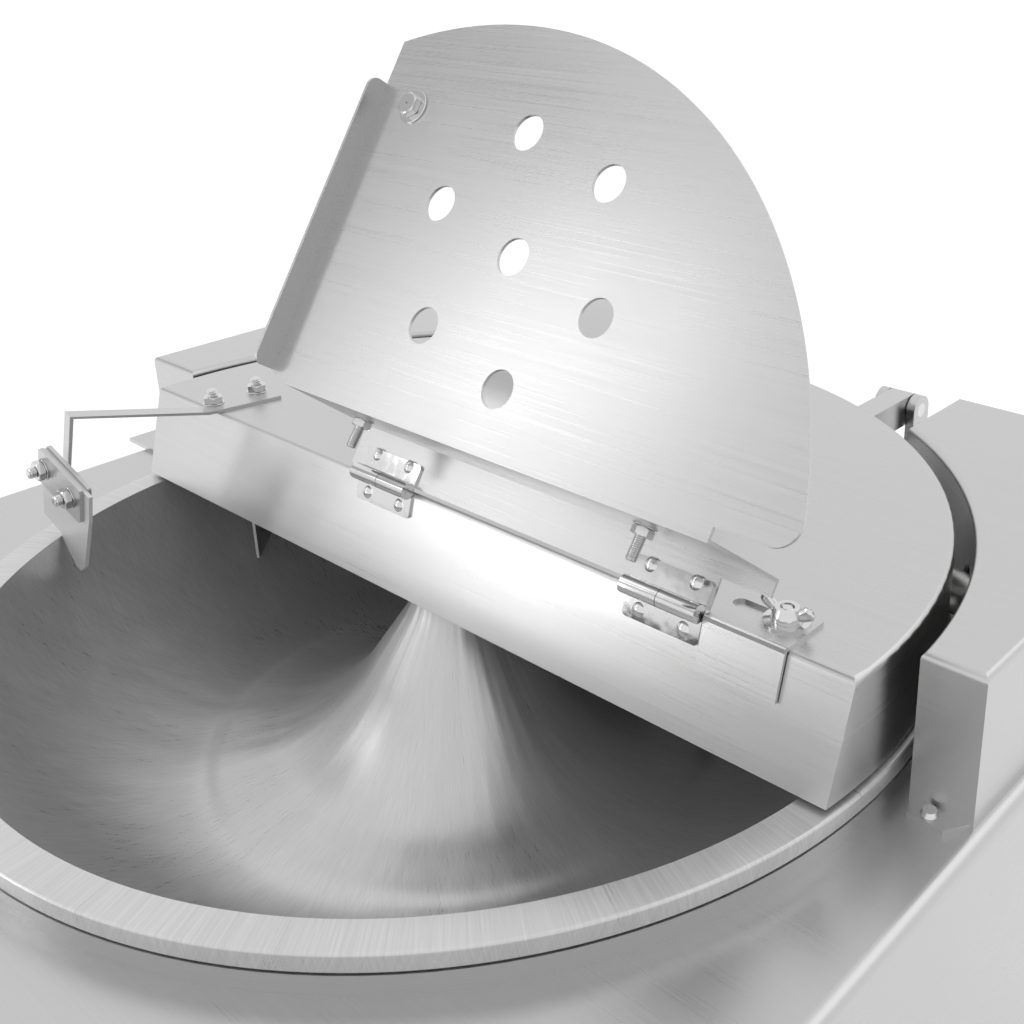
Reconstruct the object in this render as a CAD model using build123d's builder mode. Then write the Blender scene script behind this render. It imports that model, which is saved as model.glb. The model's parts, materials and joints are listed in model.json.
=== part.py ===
"""Bowl cutter for meat: a turning bowl with a central cone, knives on a cross shaft,
a half-round knife cover with a folding guard flap, and a cabinet with both drives."""
from build123d import *
import math
import os

os.makedirs("parts", exist_ok=True)

# Driving dimensions in millimetres. Places are written from the bowl's axis at the
# top of its rim: +X to the drive side, +Y to the back, +Z up.

# Stand and cabinet
rim_z = 320.0  # height of the bowl's rim above the table
deck_right = 37.5  # bowl's rim to the cabinet's right side
deck_left = 75.0  # bowl's rim to the cabinet's left side
deck_front = 32.0  # bowl's rim to the cabinet's front, and to its back
deck_z = -16.6  # top of the deck, below the rim
deck_skirt = 34.0  # height of the deck panel's turned-down edge
deck_edge_r = 6.0
sheet = 2.0  # cabinet and deck sheet
foot_height = 25.0
foot_r = 20.0
foot_inset = 45.0
foot_taper = 6.0  # degrees
base_sheet = 3.0

# Bowl
rim_width = 14.77
rim_thickness = 8.0
trough_r = 94.0  # radius of the trough's round section
trough_axis_r = 122.0  # bowl axis to the trough's centre
knife_axis_z = 12.0  # trough centre and knife shaft above the rim
bowl_wall = 3.0
bowl_seat_flat = 0.4  # how far the bowl's underside is faced off
cone_angle = 35.0  # where the trough turns into the cone's straight flank
cone_neck_r = 26.65  # where the flank ends and the cone's hollow curve starts
cone_top_r = 18.0
cone_top_z = 14.0
bowl_thread_r = 8.0
collar_gap = 0.5  # collar to the turning rim
collar_width = 6.0

# Bowl drive
spindle_r = 12.5
drive_plate_thickness = 8.0
drive_plate_margin = 12.0  # drive plate past the middle of the trough
drive_boss_r = 22.0
drive_boss_length = 8.0
housing_gap = 4.0
spindle_housing_r = 33.0
spindle_housing_length = 92.0
housing_flange_r = 46.0
housing_flange_thickness = 8.0
spindle_bearing_r = 26.0
spindle_bearing_width = 15.0
channel_width = 100.0
channel_height = 36.0
channel_sheet = 4.0
gear_module = 2.0
gear_teeth = 60
pinion_teeth = 15
gear_width = 12.0
gear_backlash = 0.5
gearbox_size = 70.0
gearmotor_r = 30.0
gearmotor_length = 100.0
pinion_shaft_r = 6.0

# Knife drive
knife_clear = 4.0  # knife tips to the bowl
knife_thickness = 4.0
knife_spread = 14.0  # between the middles of the two knives
knife_hub_r = 24.0
knife_shaft_r = 10.0
knife_shaft_end = -48.0  # free end of the shaft
knife_bearing_r = 21.0
knife_bearing_width = 12.0
pedestal_r = 27.5
pedestal_inset = 61.5  # from the cabinet's right side
pedestal_width = 34.0
pulley_inset = 17.5  # middle of both pulleys, from the cabinet's right side
pulley_width = 14.0
knife_pulley_r = 24.0
motor_pulley_r = 32.0
belt_top = 10.0  # width of the belt at its back
belt_depth = 6.0
belt_drop = 192.0  # knife shaft to motor shaft
motor_r = 58.0
motor_length = 140.0
motor_cap = 12.0
motor_cowl_length = 30.0
motor_shaft_r = 9.0

# Knife cover
cover_inset = 2.4  # bowl's rim to the cover's round wall
cover_top_z = 48.8
cover_gap = 2.0  # rim to the cover's lower edge
cover_sheet = 1.5
crease_y = -14.4  # top front edge of the cover
face_slope = 16.6  # degrees, how far the front face leans out at the bottom
cover_edge_r = 2.5
dome_rise = 5.0  # dome past the trough's round section
dome_width = 68.0
dome_edge_r = 8.0
shaft_slot_width = 30.0

# Guard flap and its two hinges
hinge_x = (-27.0, 141.5)  # middle of each hinge
hinge_length = 38.0
hinge_leaf = 13.0
leaf_sheet = 1.2
leaf_corner_r = 2.0
knuckle_r = 3.8
hinge_pin_r = 1.5
hinge_y = -17.5
hinge_z = 51.0
flap_lean = 56.0  # degrees, slope of the raised flap
flap_sheet = 1.5
strip_left = -54.5
strip_right = 184.5
strip_height = 21.5
strip_foot = 2.5
strip_notch = 15.5  # cut away above the stop bracket
flap_over_rim = 1.5  # the lowered flap above the bowl's rim
wall_lean = 38.5  # degrees, slope of the wall between strip and plate on the raised flap
plate_left = -69.3
plate_r = 219.3  # radius of the plate's round edge
plate_middle = (4.1, -12.6)  # its centre, along X and up from the hinge line
plate_foot_left = 28.5  # lower edges of the plate beside the wall, up from the hinge line
plate_foot_right = 31.4
plate_corner_r = 10.0
vent_d = 16.3
vent_centre = (49.6, 105.8)
vent_row = (53.1, -15.8)  # from one hole to the next along a slanting row
vent_column = (-18.9, 52.9)  # and along a slanting column
side_flange = 10.5
side_flange_start = 30.0
side_flange_end = 172.0
side_flange_r = 5.0
flap_bolt_at = (-44.5, 162.7)
flap_bolt_r = 2.75
stud_x = (-25.8, 140.4)
stud_up = 28.0  # from the strip along the wall
stud_r = 2.5
stud_length = 14.0  # below the wall
stud_nut_r = 4.6
stud_nut_height = 4.0
rivet_r = 3.0
rivet_spacing = 22.5

# Stop bracket and its wing nut
bracket_left = 161.5
bracket_right = 198.5
bracket_back = 11.0
bracket_sheet = 1.5
bracket_tab = 20.0
bracket_gap = 0.5
bracket_slot_left = 163.6
wing_x = 187.6
wing_y = 0.6
wing_stud_r = 3.0
wing_washer_r = 9.2
wing_span = 25.0

# Scrapers
arm_width = 10.0
arm_sheet = 1.5
arm_turn = 12.3  # degrees, turn of the arm from straight to the front
arm_rise = 12.0  # degrees, rise of the arm past the cover's edge
arm_inset = 52.6  # cover's round wall to the arm's first fastener
arm_foot_y = -19.0  # where the arm leaves the cover
arm_on_cover = 39.5
arm_stand_off = 4.35  # middle of the blade to the arm's leg
arm_leg = 34.0
scraper_inset_x = 36.73  # bowl's inner rim to the blade's middle, along X
scraper_inset = 12.458  # and towards the bowl's axis
scraper_z = 33.0
scraper_tilt = 19.0
clamp_length = 40.0
clamp_height = 21.0
clamp_sheet = 2.0
blade_sheet = 2.0
blade_depth = 47.0
inner_tip_clear = 2.28  # scraper under the cover, from the trough
inner_tip_angle = 134.25  # degrees, place of its point in the trough's section
inner_tip_y = 6.3
inner_turn = 107.0  # degrees, its heading from the tip
inner_rise = 39.0  # degrees, rise of its lower edge
inner_length = 45.0
inner_flange_width = 22.0

# Housings beside the knife cover
housing_gap_r = 8.1  # knife cover to the housings' hollow side
housing_front = 15.7
housing_left_front = 10.5
housing_inset_back = 9.0  # from the cabinet's back
housing_inset_right = 6.0
housing_right_inner = 126.0
housing_inset_left = 27.0
housing_left_inner = -45.0
housing_sheet = 1.5
housing_edge_r = 3.0
foot_flange = 9.5
foot_flange_sheet = 2.5
left_flange_width = 41.5
left_flange_length = 60.0

# Cover hinge at the back
back_hinge_reach = 15.4  # cover's round wall to its hinge axis
back_hinge_z = 40.0
back_hinge_x = 52.0
back_hinge_span = 90.0
back_pin_r = 4.0
back_lug_r = 8.0
back_lug_width = 14.0

# Controls
button_x = (-210.0, -165.0)
button_z = -95.0
bezel_r = 15.0
bezel_height = 4.0
button_r = 11.0
button_travel = 4.0
button_proud = 3.0  # button in front of its bezel
gland_r = 9.0
gland_reach = 12.0  # gland behind the cabinet

# Clearances
running = 0.05  # shaft in its bore, radial
seat = 0.02  # a piece pressed or bolted into its seat, radial
loose = 0.4  # between pieces that must not rub

# Sizes that follow from those above
rim_inner_r = trough_axis_r + math.sqrt(trough_r**2 - knife_axis_z**2)
rim_r = rim_inner_r + rim_width
body_right = rim_r + deck_right
body_left = rim_r + deck_left
body_half_depth = rim_r + deck_front
drive_plate_r = trough_axis_r + drive_plate_margin
knife_r = trough_r - knife_clear
dome_r = trough_r + dome_rise
cover_r = rim_r - cover_inset
pedestal_x = body_right - pedestal_inset
pulley_x = body_right - pulley_inset
housing_back = body_half_depth - housing_inset_back
housing_right = body_right - housing_inset_right
housing_left = housing_inset_left - body_left
left_flange_tip = housing_left - left_flange_width
back_hinge_y = cover_r + back_hinge_reach
bowl_x = (-left_flange_tip - body_right) / 2
bowl_y = (bezel_height + button_proud - gland_reach) / 2


def at(x, y, z):
    """A place given from the bowl's axis at the top of its rim."""
    return (bowl_x + x, bowl_y + y, rim_z + z)


def level(z, x=0, y=0):
    """A level plane at height z."""
    return Plane(origin=at(x, y, z))


def across(x, y=0, z=0):
    """A plane square to X: its own axes run to the back and up."""
    return Plane(origin=at(x, y, z), x_dir=(0, 1, 0), z_dir=(1, 0, 0))


def facing(y, x=0, z=0):
    """A plane square to Y: its own axes run to the right and up."""
    return Plane(origin=at(x, y, z), x_dir=(1, 0, 0), z_dir=(0, -1, 0))


def polar(radius, degrees):
    turn = math.radians(degrees)
    return (radius * math.cos(turn), radius * math.sin(turn))


def trough_point(radius, degrees):
    """A point of the trough's section; 0 is towards the bowl's axis, 90 is straight down."""
    turn = math.radians(degrees)
    return (trough_axis_r - radius * math.cos(turn), knife_axis_z - radius * math.sin(turn))


bowl_axis = Axis(at(0, 0, 0), (0, 0, 1))
knife_y = trough_axis_r


# ---------------------------------------------------------------- cabinet and deck

deck_x = (body_right - body_left) / 2
deck_width = body_right + body_left
deck_depth = 2 * body_half_depth
cabinet_top = deck_z - deck_skirt
cabinet_bottom = foot_height - rim_z
cabinet_height = cabinet_top - cabinet_bottom
bowl_opening_r = rim_r - collar_width
knife_pulley_outer = knife_pulley_r + 2
belt_slot_width = belt_top + 6
belt_slot_depth = 2 * knife_pulley_outer + 20

with BuildPart() as deck_panel:
    with BuildSketch(level(cabinet_top, deck_x)):
        Rectangle(deck_width, deck_depth)
    extrude(amount=deck_skirt)
    fillet(deck_panel.edges().filter_by(Axis.Z), deck_edge_r)
    fillet(deck_panel.faces().sort_by(Axis.Z)[-1].edges(), deck_edge_r)
    offset(amount=-sheet, openings=deck_panel.faces().sort_by(Axis.Z)[0])
    with BuildSketch(level(deck_z)):
        Circle(bowl_opening_r)
    extrude(amount=-2 * sheet, mode=Mode.SUBTRACT)
    with BuildSketch(level(deck_z, pulley_x, knife_y)):
        Rectangle(belt_slot_width, belt_slot_depth)
    extrude(amount=-2 * sheet, mode=Mode.SUBTRACT)
deck_panel.part.label = "deck_panel"
export_step(deck_panel.part, "parts/deck_panel.step")

gland_x = -200.0
gland_z = cabinet_bottom + 40
vent_slot_rows = 6
vent_slot_pitch = 14.0
vent_slot_length = 110.0
vent_slot_height = 5.0
vent_slot_z = cabinet_bottom + cabinet_height / 2

with BuildPart() as cabinet_shell:
    with BuildSketch(level(cabinet_bottom, deck_x)):
        RectangleRounded(deck_width, deck_depth, deck_edge_r)
        RectangleRounded(
            deck_width - 2 * sheet, deck_depth - 2 * sheet, deck_edge_r - sheet, mode=Mode.SUBTRACT
        )
    extrude(amount=cabinet_height)
    with BuildSketch(facing(body_half_depth, deck_x, vent_slot_z)):
        with GridLocations(1.6 * vent_slot_length, vent_slot_pitch, 2, vent_slot_rows):
            SlotOverall(vent_slot_length, vent_slot_height)
    extrude(amount=2 * sheet, mode=Mode.SUBTRACT)
    with BuildSketch(facing(-body_half_depth, z=button_z)):
        with Locations(*[(x, 0) for x in button_x]):
            Circle(button_r + loose)
    extrude(amount=-2 * sheet, mode=Mode.SUBTRACT)
    with BuildSketch(facing(body_half_depth, gland_x, gland_z)):
        Circle(gland_r - 1 + seat)
    extrude(amount=2 * sheet, mode=Mode.SUBTRACT)
cabinet_shell.part.label = "cabinet_shell"
export_step(cabinet_shell.part, "parts/cabinet_shell.step")

foot_spread_x = deck_width - 2 * foot_inset
foot_spread_y = deck_depth - 2 * foot_inset

with BuildPart() as base_plate:
    with BuildSketch(level(cabinet_bottom, deck_x)):
        RectangleRounded(deck_width - 2 * sheet, deck_depth - 2 * sheet, deck_edge_r - sheet)
    extrude(amount=base_sheet)
    with BuildSketch(level(cabinet_bottom, deck_x)):
        with GridLocations(1.6 * vent_slot_length, 2 * vent_slot_pitch, 2, 4):
            SlotOverall(vent_slot_length, vent_slot_height)
    extrude(amount=base_sheet, mode=Mode.SUBTRACT)
base_plate.part.label = "base_plate"
export_step(base_plate.part, "parts/base_plate.step")

with BuildPart() as feet:
    with BuildSketch(level(cabinet_bottom, deck_x)):
        with GridLocations(foot_spread_x, foot_spread_y, 2, 2):
            Circle(foot_r)
    extrude(amount=-foot_height, taper=foot_taper)
    with BuildSketch(level(-rim_z, deck_x)):
        with GridLocations(foot_spread_x, foot_spread_y, 2, 2):
            Circle(foot_r / 3)
    extrude(amount=foot_height / 3, mode=Mode.SUBTRACT)
feet.part.label = "feet"
export_step(feet.part, "parts/feet.step")

# ---------------------------------------------------------------- bowl

bowl_under_z = knife_axis_z - trough_r - bowl_wall + bowl_seat_flat
under_r = trough_r + bowl_wall
rim_under_reach = math.sqrt(under_r**2 - (knife_axis_z + rim_thickness) ** 2)
seat_half = math.sqrt(under_r**2 - (knife_axis_z - bowl_under_z) ** 2)
flank = math.radians(cone_angle)
cone_foot = trough_point(trough_r, cone_angle)
cone_flank = (cone_foot[0] - cone_neck_r) / math.sin(flank)
cone_neck = (
    cone_foot[0] - cone_flank * math.sin(flank),
    cone_foot[1] + cone_flank * math.cos(flank),
)
under_foot = trough_point(under_r, cone_angle)
under_neck = (
    under_foot[0] - cone_flank * math.sin(flank),
    under_foot[1] + cone_flank * math.cos(flank),
)
flank_rise = (-math.sin(flank), math.cos(flank))

with BuildPart() as bowl:
    with BuildSketch(facing(0)):
        with BuildLine():
            Line((rim_r, 0), (rim_inner_r, 0))
            ThreePointArc((rim_inner_r, 0), trough_point(trough_r, 120), cone_foot)
            Line(cone_foot, cone_neck)
            TangentArc(cone_neck, (cone_top_r, cone_top_z), tangent=flank_rise)
            Line((cone_top_r, cone_top_z), (bowl_thread_r + seat, cone_top_z))
            Line((bowl_thread_r + seat, cone_top_z), (bowl_thread_r + seat, cone_top_z - bowl_wall))
            Line(
                (bowl_thread_r + seat, cone_top_z - bowl_wall),
                (cone_top_r - bowl_wall, cone_top_z - bowl_wall),
            )
            TangentArc(
                under_neck,
                (cone_top_r - bowl_wall, cone_top_z - bowl_wall),
                tangent=flank_rise,
            )
            Line(under_neck, under_foot)
            ThreePointArc(
                under_foot,
                trough_point(under_r, 70),
                (trough_axis_r - seat_half, bowl_under_z),
            )
            Line((trough_axis_r - seat_half, bowl_under_z), (trough_axis_r + seat_half, bowl_under_z))
            ThreePointArc(
                (trough_axis_r + seat_half, bowl_under_z),
                trough_point(under_r, 140),
                (trough_axis_r + rim_under_reach, -rim_thickness),
            )
            Line((trough_axis_r + rim_under_reach, -rim_thickness), (rim_r, -rim_thickness))
            Line((rim_r, -rim_thickness), (rim_r, 0))
        make_face()
    revolve(axis=bowl_axis)
bowl.part.label = "bowl"
export_step(bowl.part, "parts/bowl.step")

with BuildPart() as bowl_collar:
    with BuildSketch(level(deck_z)):
        Circle(rim_r - seat)
        Circle(rim_r - collar_width, mode=Mode.SUBTRACT)
    extrude(amount=-rim_thickness - collar_gap - deck_z)
bowl_collar.part.label = "bowl_collar"
export_step(bowl_collar.part, "parts/bowl_collar.step")

drive_plate_z = bowl_under_z - drive_plate_thickness
drive_boss_z = drive_plate_z - drive_boss_length
housing_top_z = drive_boss_z - housing_gap
channel_top_z = housing_top_z - housing_flange_thickness
housing_foot_z = channel_top_z - spindle_housing_length
gear_top_z = housing_foot_z - housing_gap
spindle_foot_z = gear_top_z - gear_width - 4
bowl_nut_height = 14.0
drive_pin_r = 4.0
drive_pin_count = 3

with BuildPart() as drive_plate:
    with BuildSketch(level(drive_plate_z)):
        Circle(drive_plate_r)
    extrude(amount=drive_plate_thickness)
    with BuildSketch(level(drive_plate_z)):
        with PolarLocations((drive_boss_r + trough_axis_r) / 2, 6):
            Circle(drive_plate_r / 5)
    extrude(amount=drive_plate_thickness, mode=Mode.SUBTRACT)
    with BuildSketch(level(drive_plate_z)):
        Circle(drive_boss_r)
    extrude(amount=-drive_boss_length)
    with BuildSketch(level(drive_boss_z)):
        Circle(spindle_r + seat)
    extrude(amount=drive_boss_length + drive_plate_thickness, mode=Mode.SUBTRACT)
drive_plate.part.label = "drive_plate"
export_step(drive_plate.part, "parts/drive_plate.step")

with BuildPart() as bowl_spindle:
    with BuildSketch(level(spindle_foot_z)):
        Circle(spindle_r)
    extrude(amount=cone_top_z - bowl_wall - spindle_foot_z)
    with BuildSketch(level(cone_top_z - bowl_wall)):
        Circle(bowl_thread_r)
    extrude(amount=bowl_wall + 0.8 * bowl_nut_height)
    chamfer(bowl_spindle.edges().sort_by(Axis.Z)[0], 1)
bowl_spindle.part.label = "bowl_spindle"
export_step(bowl_spindle.part, "parts/bowl_spindle.step")

with BuildPart() as bowl_nut:
    with BuildSketch(level(cone_top_z)):
        RegularPolygon(1.7 * bowl_thread_r, 6)
    extrude(amount=bowl_nut_height - 4)
    with BuildSketch(level(cone_top_z)):
        Circle(1.45 * bowl_thread_r)
    extrude(amount=bowl_nut_height)
    fillet(bowl_nut.edges().sort_by(Axis.Z)[-1], 3)
    with BuildSketch(level(cone_top_z)):
        Circle(bowl_thread_r + seat)
    extrude(amount=0.8 * bowl_nut_height + seat, mode=Mode.SUBTRACT)
bowl_nut.part.label = "bowl_nut"
export_step(bowl_nut.part, "parts/bowl_nut.step")


# ---------------------------------------------------------------- bowl drive

channel_left = sheet - body_left
channel_length = deck_width - 2 * sheet
gearmotor_x = -gear_module * (gear_teeth + pinion_teeth) / 2

with BuildPart() as bridge_channel:
    with BuildSketch(across(channel_left)):
        with Locations((0, channel_top_z - channel_height / 2)):
            Rectangle(channel_width, channel_height)
        with Locations((0, channel_top_z - channel_height / 2 - channel_sheet)):
            Rectangle(channel_width - 2 * channel_sheet, channel_height, mode=Mode.SUBTRACT)
    extrude(amount=channel_length)
    with BuildSketch(level(channel_top_z)):
        Circle(spindle_housing_r + seat)
    extrude(amount=-channel_sheet, mode=Mode.SUBTRACT)
bridge_channel.part.label = "bridge_channel"
export_step(bridge_channel.part, "parts/bridge_channel.step")

with BuildPart() as spindle_housing:
    with BuildSketch(level(channel_top_z)):
        Circle(housing_flange_r)
    extrude(amount=housing_flange_thickness)
    with BuildSketch(level(housing_foot_z)):
        Circle(spindle_housing_r)
    extrude(amount=spindle_housing_length)
    fillet(spindle_housing.edges().filter_by(GeomType.CIRCLE).sort_by(Axis.Z)[-1], 2)
    with BuildSketch(level(housing_foot_z)):
        Circle(spindle_r + 3)
    extrude(amount=spindle_housing_length + housing_flange_thickness, mode=Mode.SUBTRACT)
    for bearing_z in (housing_foot_z, housing_top_z - spindle_bearing_width):
        with BuildSketch(level(bearing_z)):
            Circle(spindle_bearing_r + seat)
        extrude(amount=spindle_bearing_width, mode=Mode.SUBTRACT)
spindle_housing.part.label = "spindle_housing"
export_step(spindle_housing.part, "parts/spindle_housing.step")

with BuildPart() as spindle_bearings:
    for bearing_z in (housing_foot_z, housing_top_z - spindle_bearing_width):
        with BuildSketch(level(bearing_z)):
            Circle(spindle_bearing_r)
            Circle(spindle_r + running, mode=Mode.SUBTRACT)
        extrude(amount=spindle_bearing_width)
spindle_bearings.part.label = "spindle_bearings"
export_step(spindle_bearings.part, "parts/spindle_bearings.step")


pressure_angle = math.radians(20)
shaft_end_play = 2.0


def tooth_flank(pitch_r, module, teeth, backlash):
    """Radius and half width angle of a tooth from its root to its tip."""
    base_r = pitch_r * math.cos(pressure_angle)
    root_r = pitch_r - 1.25 * module
    pitch_roll = math.tan(pressure_angle) - pressure_angle
    half_tooth = math.pi / (2 * teeth) - backlash / (4 * pitch_r) + pitch_roll
    start_r = max(base_r, root_r)
    flank_points = []
    if root_r < base_r:
        flank_points.append((root_r, half_tooth))
    for step in range(4):
        radius = start_r + (pitch_r + module - start_r) * step / 3
        roll = math.sqrt((radius / base_r) ** 2 - 1)
        flank_points.append((radius, half_tooth - roll + math.atan(roll)))
    return flank_points


def gear_outline(teeth, module, backlash, turn):
    """Corner points of a spur gear, its first tooth turned by the given angle."""
    flank_points = tooth_flank(module * teeth / 2, module, teeth, backlash)
    outline = []
    for tooth in range(teeth):
        middle = turn + 2 * math.pi * tooth / teeth
        outline += [(radius, middle - half) for radius, half in flank_points]
        outline += [(radius, middle + half) for radius, half in reversed(flank_points)]
    return [(radius * math.cos(angle), radius * math.sin(angle)) for radius, angle in outline]


gearbox_top_z = channel_top_z - channel_sheet
gearbox_foot_z = gearbox_top_z - gearbox_size
shaft_in_gearbox = 20.0

with BuildPart() as bowl_gear:
    with BuildSketch(level(gear_top_z)):
        with BuildLine():
            Polyline(gear_outline(gear_teeth, gear_module, gear_backlash, 0), close=True)
        make_face()
        Circle(spindle_r + seat, mode=Mode.SUBTRACT)
    extrude(amount=-gear_width)
    with BuildSketch(level(gear_top_z)):
        with PolarLocations(gear_module * gear_teeth / 3.4, 6):
            Circle(gear_module * gear_teeth / 12)
    extrude(amount=-gear_width, mode=Mode.SUBTRACT)
bowl_gear.part.label = "bowl_gear"
export_step(bowl_gear.part, "parts/bowl_gear.step")

with BuildPart() as drive_pinion:
    with BuildSketch(level(gear_top_z, gearmotor_x)):
        with BuildLine():
            Polyline(
                gear_outline(pinion_teeth, gear_module, gear_backlash, math.pi / pinion_teeth),
                close=True,
            )
        make_face()
    extrude(amount=-gear_width)
    with BuildSketch(level(gear_top_z, gearmotor_x)):
        Circle(pinion_shaft_r)
    extrude(amount=gearbox_foot_z + shaft_in_gearbox - gear_top_z)
drive_pinion.part.label = "drive_pinion"
export_step(drive_pinion.part, "parts/drive_pinion.step")

gearbox_x = gearmotor_x

with BuildPart() as bowl_gearmotor:
    with BuildSketch(level(gearbox_foot_z, gearbox_x)):
        Rectangle(gearbox_size, gearbox_size)
    extrude(amount=gearbox_size)
    fillet(bowl_gearmotor.edges().filter_by(Axis.X), 6)
    with BuildSketch(across(gearbox_x - gearbox_size / 2, z=gearbox_top_z - gearbox_size / 2)):
        Circle(gearmotor_r)
    extrude(amount=-gearmotor_length)
    with BuildSketch(level(gearbox_foot_z, gearmotor_x)):
        Circle(pinion_shaft_r + running)
    extrude(amount=shaft_in_gearbox + 1, mode=Mode.SUBTRACT)
bowl_gearmotor.part.label = "bowl_gearmotor"
export_step(bowl_gearmotor.part, "parts/bowl_gearmotor.step")


# ---------------------------------------------------------------- knife drive

knife_spacer_width = knife_spread - knife_thickness
knife_group = knife_spread + knife_thickness
knife_nut_width = 14.0
knife_collar_width = 10.0
knife_edge_r = 62.0  # radius of the cutting edge's curve
pedestal_end = pulley_x - pulley_width / 2 - 1.5
pedestal_start = pedestal_end - pedestal_width
wall_r = cover_r + housing_gap_r
pedestal_clear_r = wall_r + housing_sheet + loose
bearing_lip = 1.0
bearing_right_x = pedestal_end - knife_bearing_width
bearing_left_x = bearing_right_x - bearing_lip - knife_bearing_width


def knife_plane(x):
    """A plane square to the knife shaft with its origin on the shaft's axis."""
    return across(x, knife_y, knife_axis_z)


with BuildPart() as knife_shaft:
    with BuildSketch(knife_plane(knife_shaft_end)):
        Circle(knife_shaft_r)
    extrude(amount=pulley_x + pulley_width / 2 - knife_shaft_end)
    with BuildSketch(knife_plane(knife_group / 2)):
        Circle(knife_hub_r - 4)
    extrude(amount=knife_collar_width)
    chamfer(knife_shaft.edges().sort_by(Axis.X)[0], 1)
knife_shaft.part.label = "knife_shaft"
export_step(knife_shaft.part, "parts/knife_shaft.step")

knife_tip = polar(knife_r, -62)
knife_back = polar(0.86 * knife_r, -2)
knife_root = polar(knife_hub_r, 118)
knife_heel = polar(knife_hub_r, -128)

for number, turn in enumerate((0, 180)):
    with BuildPart() as knife:
        middle = (number - 0.5) * knife_spread
        with BuildSketch(knife_plane(middle - knife_thickness / 2)):
            with BuildLine():
                ThreePointArc(knife_root, knife_back, knife_tip)
                ThreePointArc(knife_tip, polar(0.47 * knife_r, -78), knife_heel)
                ThreePointArc(knife_heel, polar(knife_hub_r, 175), knife_root)
            make_face()
            Circle(knife_hub_r)
            Circle(knife_shaft_r + seat, mode=Mode.SUBTRACT)
        extrude(amount=knife_thickness)
    turned = knife.part.rotate(Axis(at(0, knife_y, knife_axis_z), (1, 0, 0)), turn)
    turned.label = f"knife_{number + 1}"
    export_step(turned, f"parts/knife_{number + 1}.step")

with BuildPart() as knife_spacer:
    with BuildSketch(knife_plane(-knife_spacer_width / 2)):
        Circle(knife_hub_r - 4)
        Circle(knife_shaft_r + seat, mode=Mode.SUBTRACT)
    extrude(amount=knife_spacer_width)
knife_spacer.part.label = "knife_spacer"
export_step(knife_spacer.part, "parts/knife_spacer.step")

with BuildPart() as knife_nut:
    with BuildSketch(knife_plane(-knife_group / 2)):
        Circle(knife_hub_r - 4)
        Circle(knife_shaft_r + seat, mode=Mode.SUBTRACT)
    extrude(amount=-knife_nut_width / 4)
    with BuildSketch(knife_plane(-knife_group / 2 - knife_nut_width / 4)):
        RegularPolygon(1.7 * knife_shaft_r, 6)
        Circle(knife_shaft_r + seat, mode=Mode.SUBTRACT)
    extrude(amount=-0.75 * knife_nut_width)
knife_nut.part.label = "knife_nut"
export_step(knife_nut.part, "parts/knife_nut.step")


def pulley_section(outer_r, bore_r):
    """Half of a grooved pulley's section, across its own width and out from its axis."""
    half = pulley_width / 2
    groove_r = outer_r - belt_depth - 2 * loose
    mouth = belt_top / 2 + loose
    floor = mouth - (outer_r - groove_r) * math.tan(pressure_angle)
    return [
        (-half, bore_r),
        (-half, outer_r),
        (-mouth, outer_r),
        (-floor, groove_r),
        (floor, groove_r),
        (mouth, outer_r),
        (half, outer_r),
        (half, bore_r),
    ]


with BuildPart() as knife_pulley:
    with BuildSketch(facing(knife_y, pulley_x, knife_axis_z)):
        with BuildLine():
            Polyline(pulley_section(knife_pulley_r, knife_shaft_r + seat), close=True)
        make_face()
    revolve(axis=Axis(at(0, knife_y, knife_axis_z), (1, 0, 0)))
knife_pulley.part.label = "knife_pulley"
export_step(knife_pulley.part, "parts/knife_pulley.step")

with BuildPart() as shaft_pedestal:
    with BuildSketch(knife_plane(pedestal_start)):
        Circle(pedestal_r)
        with Locations((0, (deck_z - knife_axis_z) / 2)):
            Rectangle(2 * pedestal_r, knife_axis_z - deck_z)
        with Locations((0, deck_z - knife_axis_z + 4)):
            Rectangle(2 * pedestal_r + 24, 8)
    extrude(amount=pedestal_width)
    with BuildSketch(level(deck_z)):
        Circle(pedestal_clear_r)
    extrude(amount=2 * pedestal_r + 20, mode=Mode.SUBTRACT)
    with BuildSketch(knife_plane(pedestal_start)):
        Circle(knife_bearing_r + seat)
    extrude(amount=bearing_left_x + knife_bearing_width - pedestal_start, mode=Mode.SUBTRACT)
    with BuildSketch(knife_plane(bearing_right_x)):
        Circle(knife_bearing_r + seat)
    extrude(amount=knife_bearing_width, mode=Mode.SUBTRACT)
    with BuildSketch(knife_plane(pedestal_start)):
        Circle(knife_bearing_r - 3)
    extrude(amount=pedestal_width, mode=Mode.SUBTRACT)
shaft_pedestal.part.label = "shaft_pedestal"
export_step(shaft_pedestal.part, "parts/shaft_pedestal.step")

with BuildPart() as knife_bearings:
    for bearing_x in (bearing_left_x, bearing_right_x):
        with BuildSketch(knife_plane(bearing_x)):
            Circle(knife_bearing_r)
            Circle(knife_shaft_r + running, mode=Mode.SUBTRACT)
        extrude(amount=knife_bearing_width)
knife_bearings.part.label = "knife_bearings"
export_step(knife_bearings.part, "parts/knife_bearings.step")

with BuildPart() as knife_seal:
    with BuildSketch(knife_plane(pedestal_start)):
        Circle(knife_bearing_r)
        Circle(knife_shaft_r + 2 * running, mode=Mode.SUBTRACT)
    extrude(amount=bearing_left_x - seat - pedestal_start)
    with BuildSketch(level(deck_z)):
        Circle(pedestal_clear_r)
    extrude(amount=2 * pedestal_r + 20, mode=Mode.SUBTRACT)
knife_seal.part.label = "knife_seal"
export_step(knife_seal.part, "parts/knife_seal.step")


# ---------------------------------------------------------------- knife motor

motor_z = knife_axis_z - belt_drop
motor_end = pulley_x - pulley_width / 2 - 28
motor_start = motor_end - motor_length
motor_fin_depth = 4.0
motor_fins = 20
fan_r = 44.0


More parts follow.
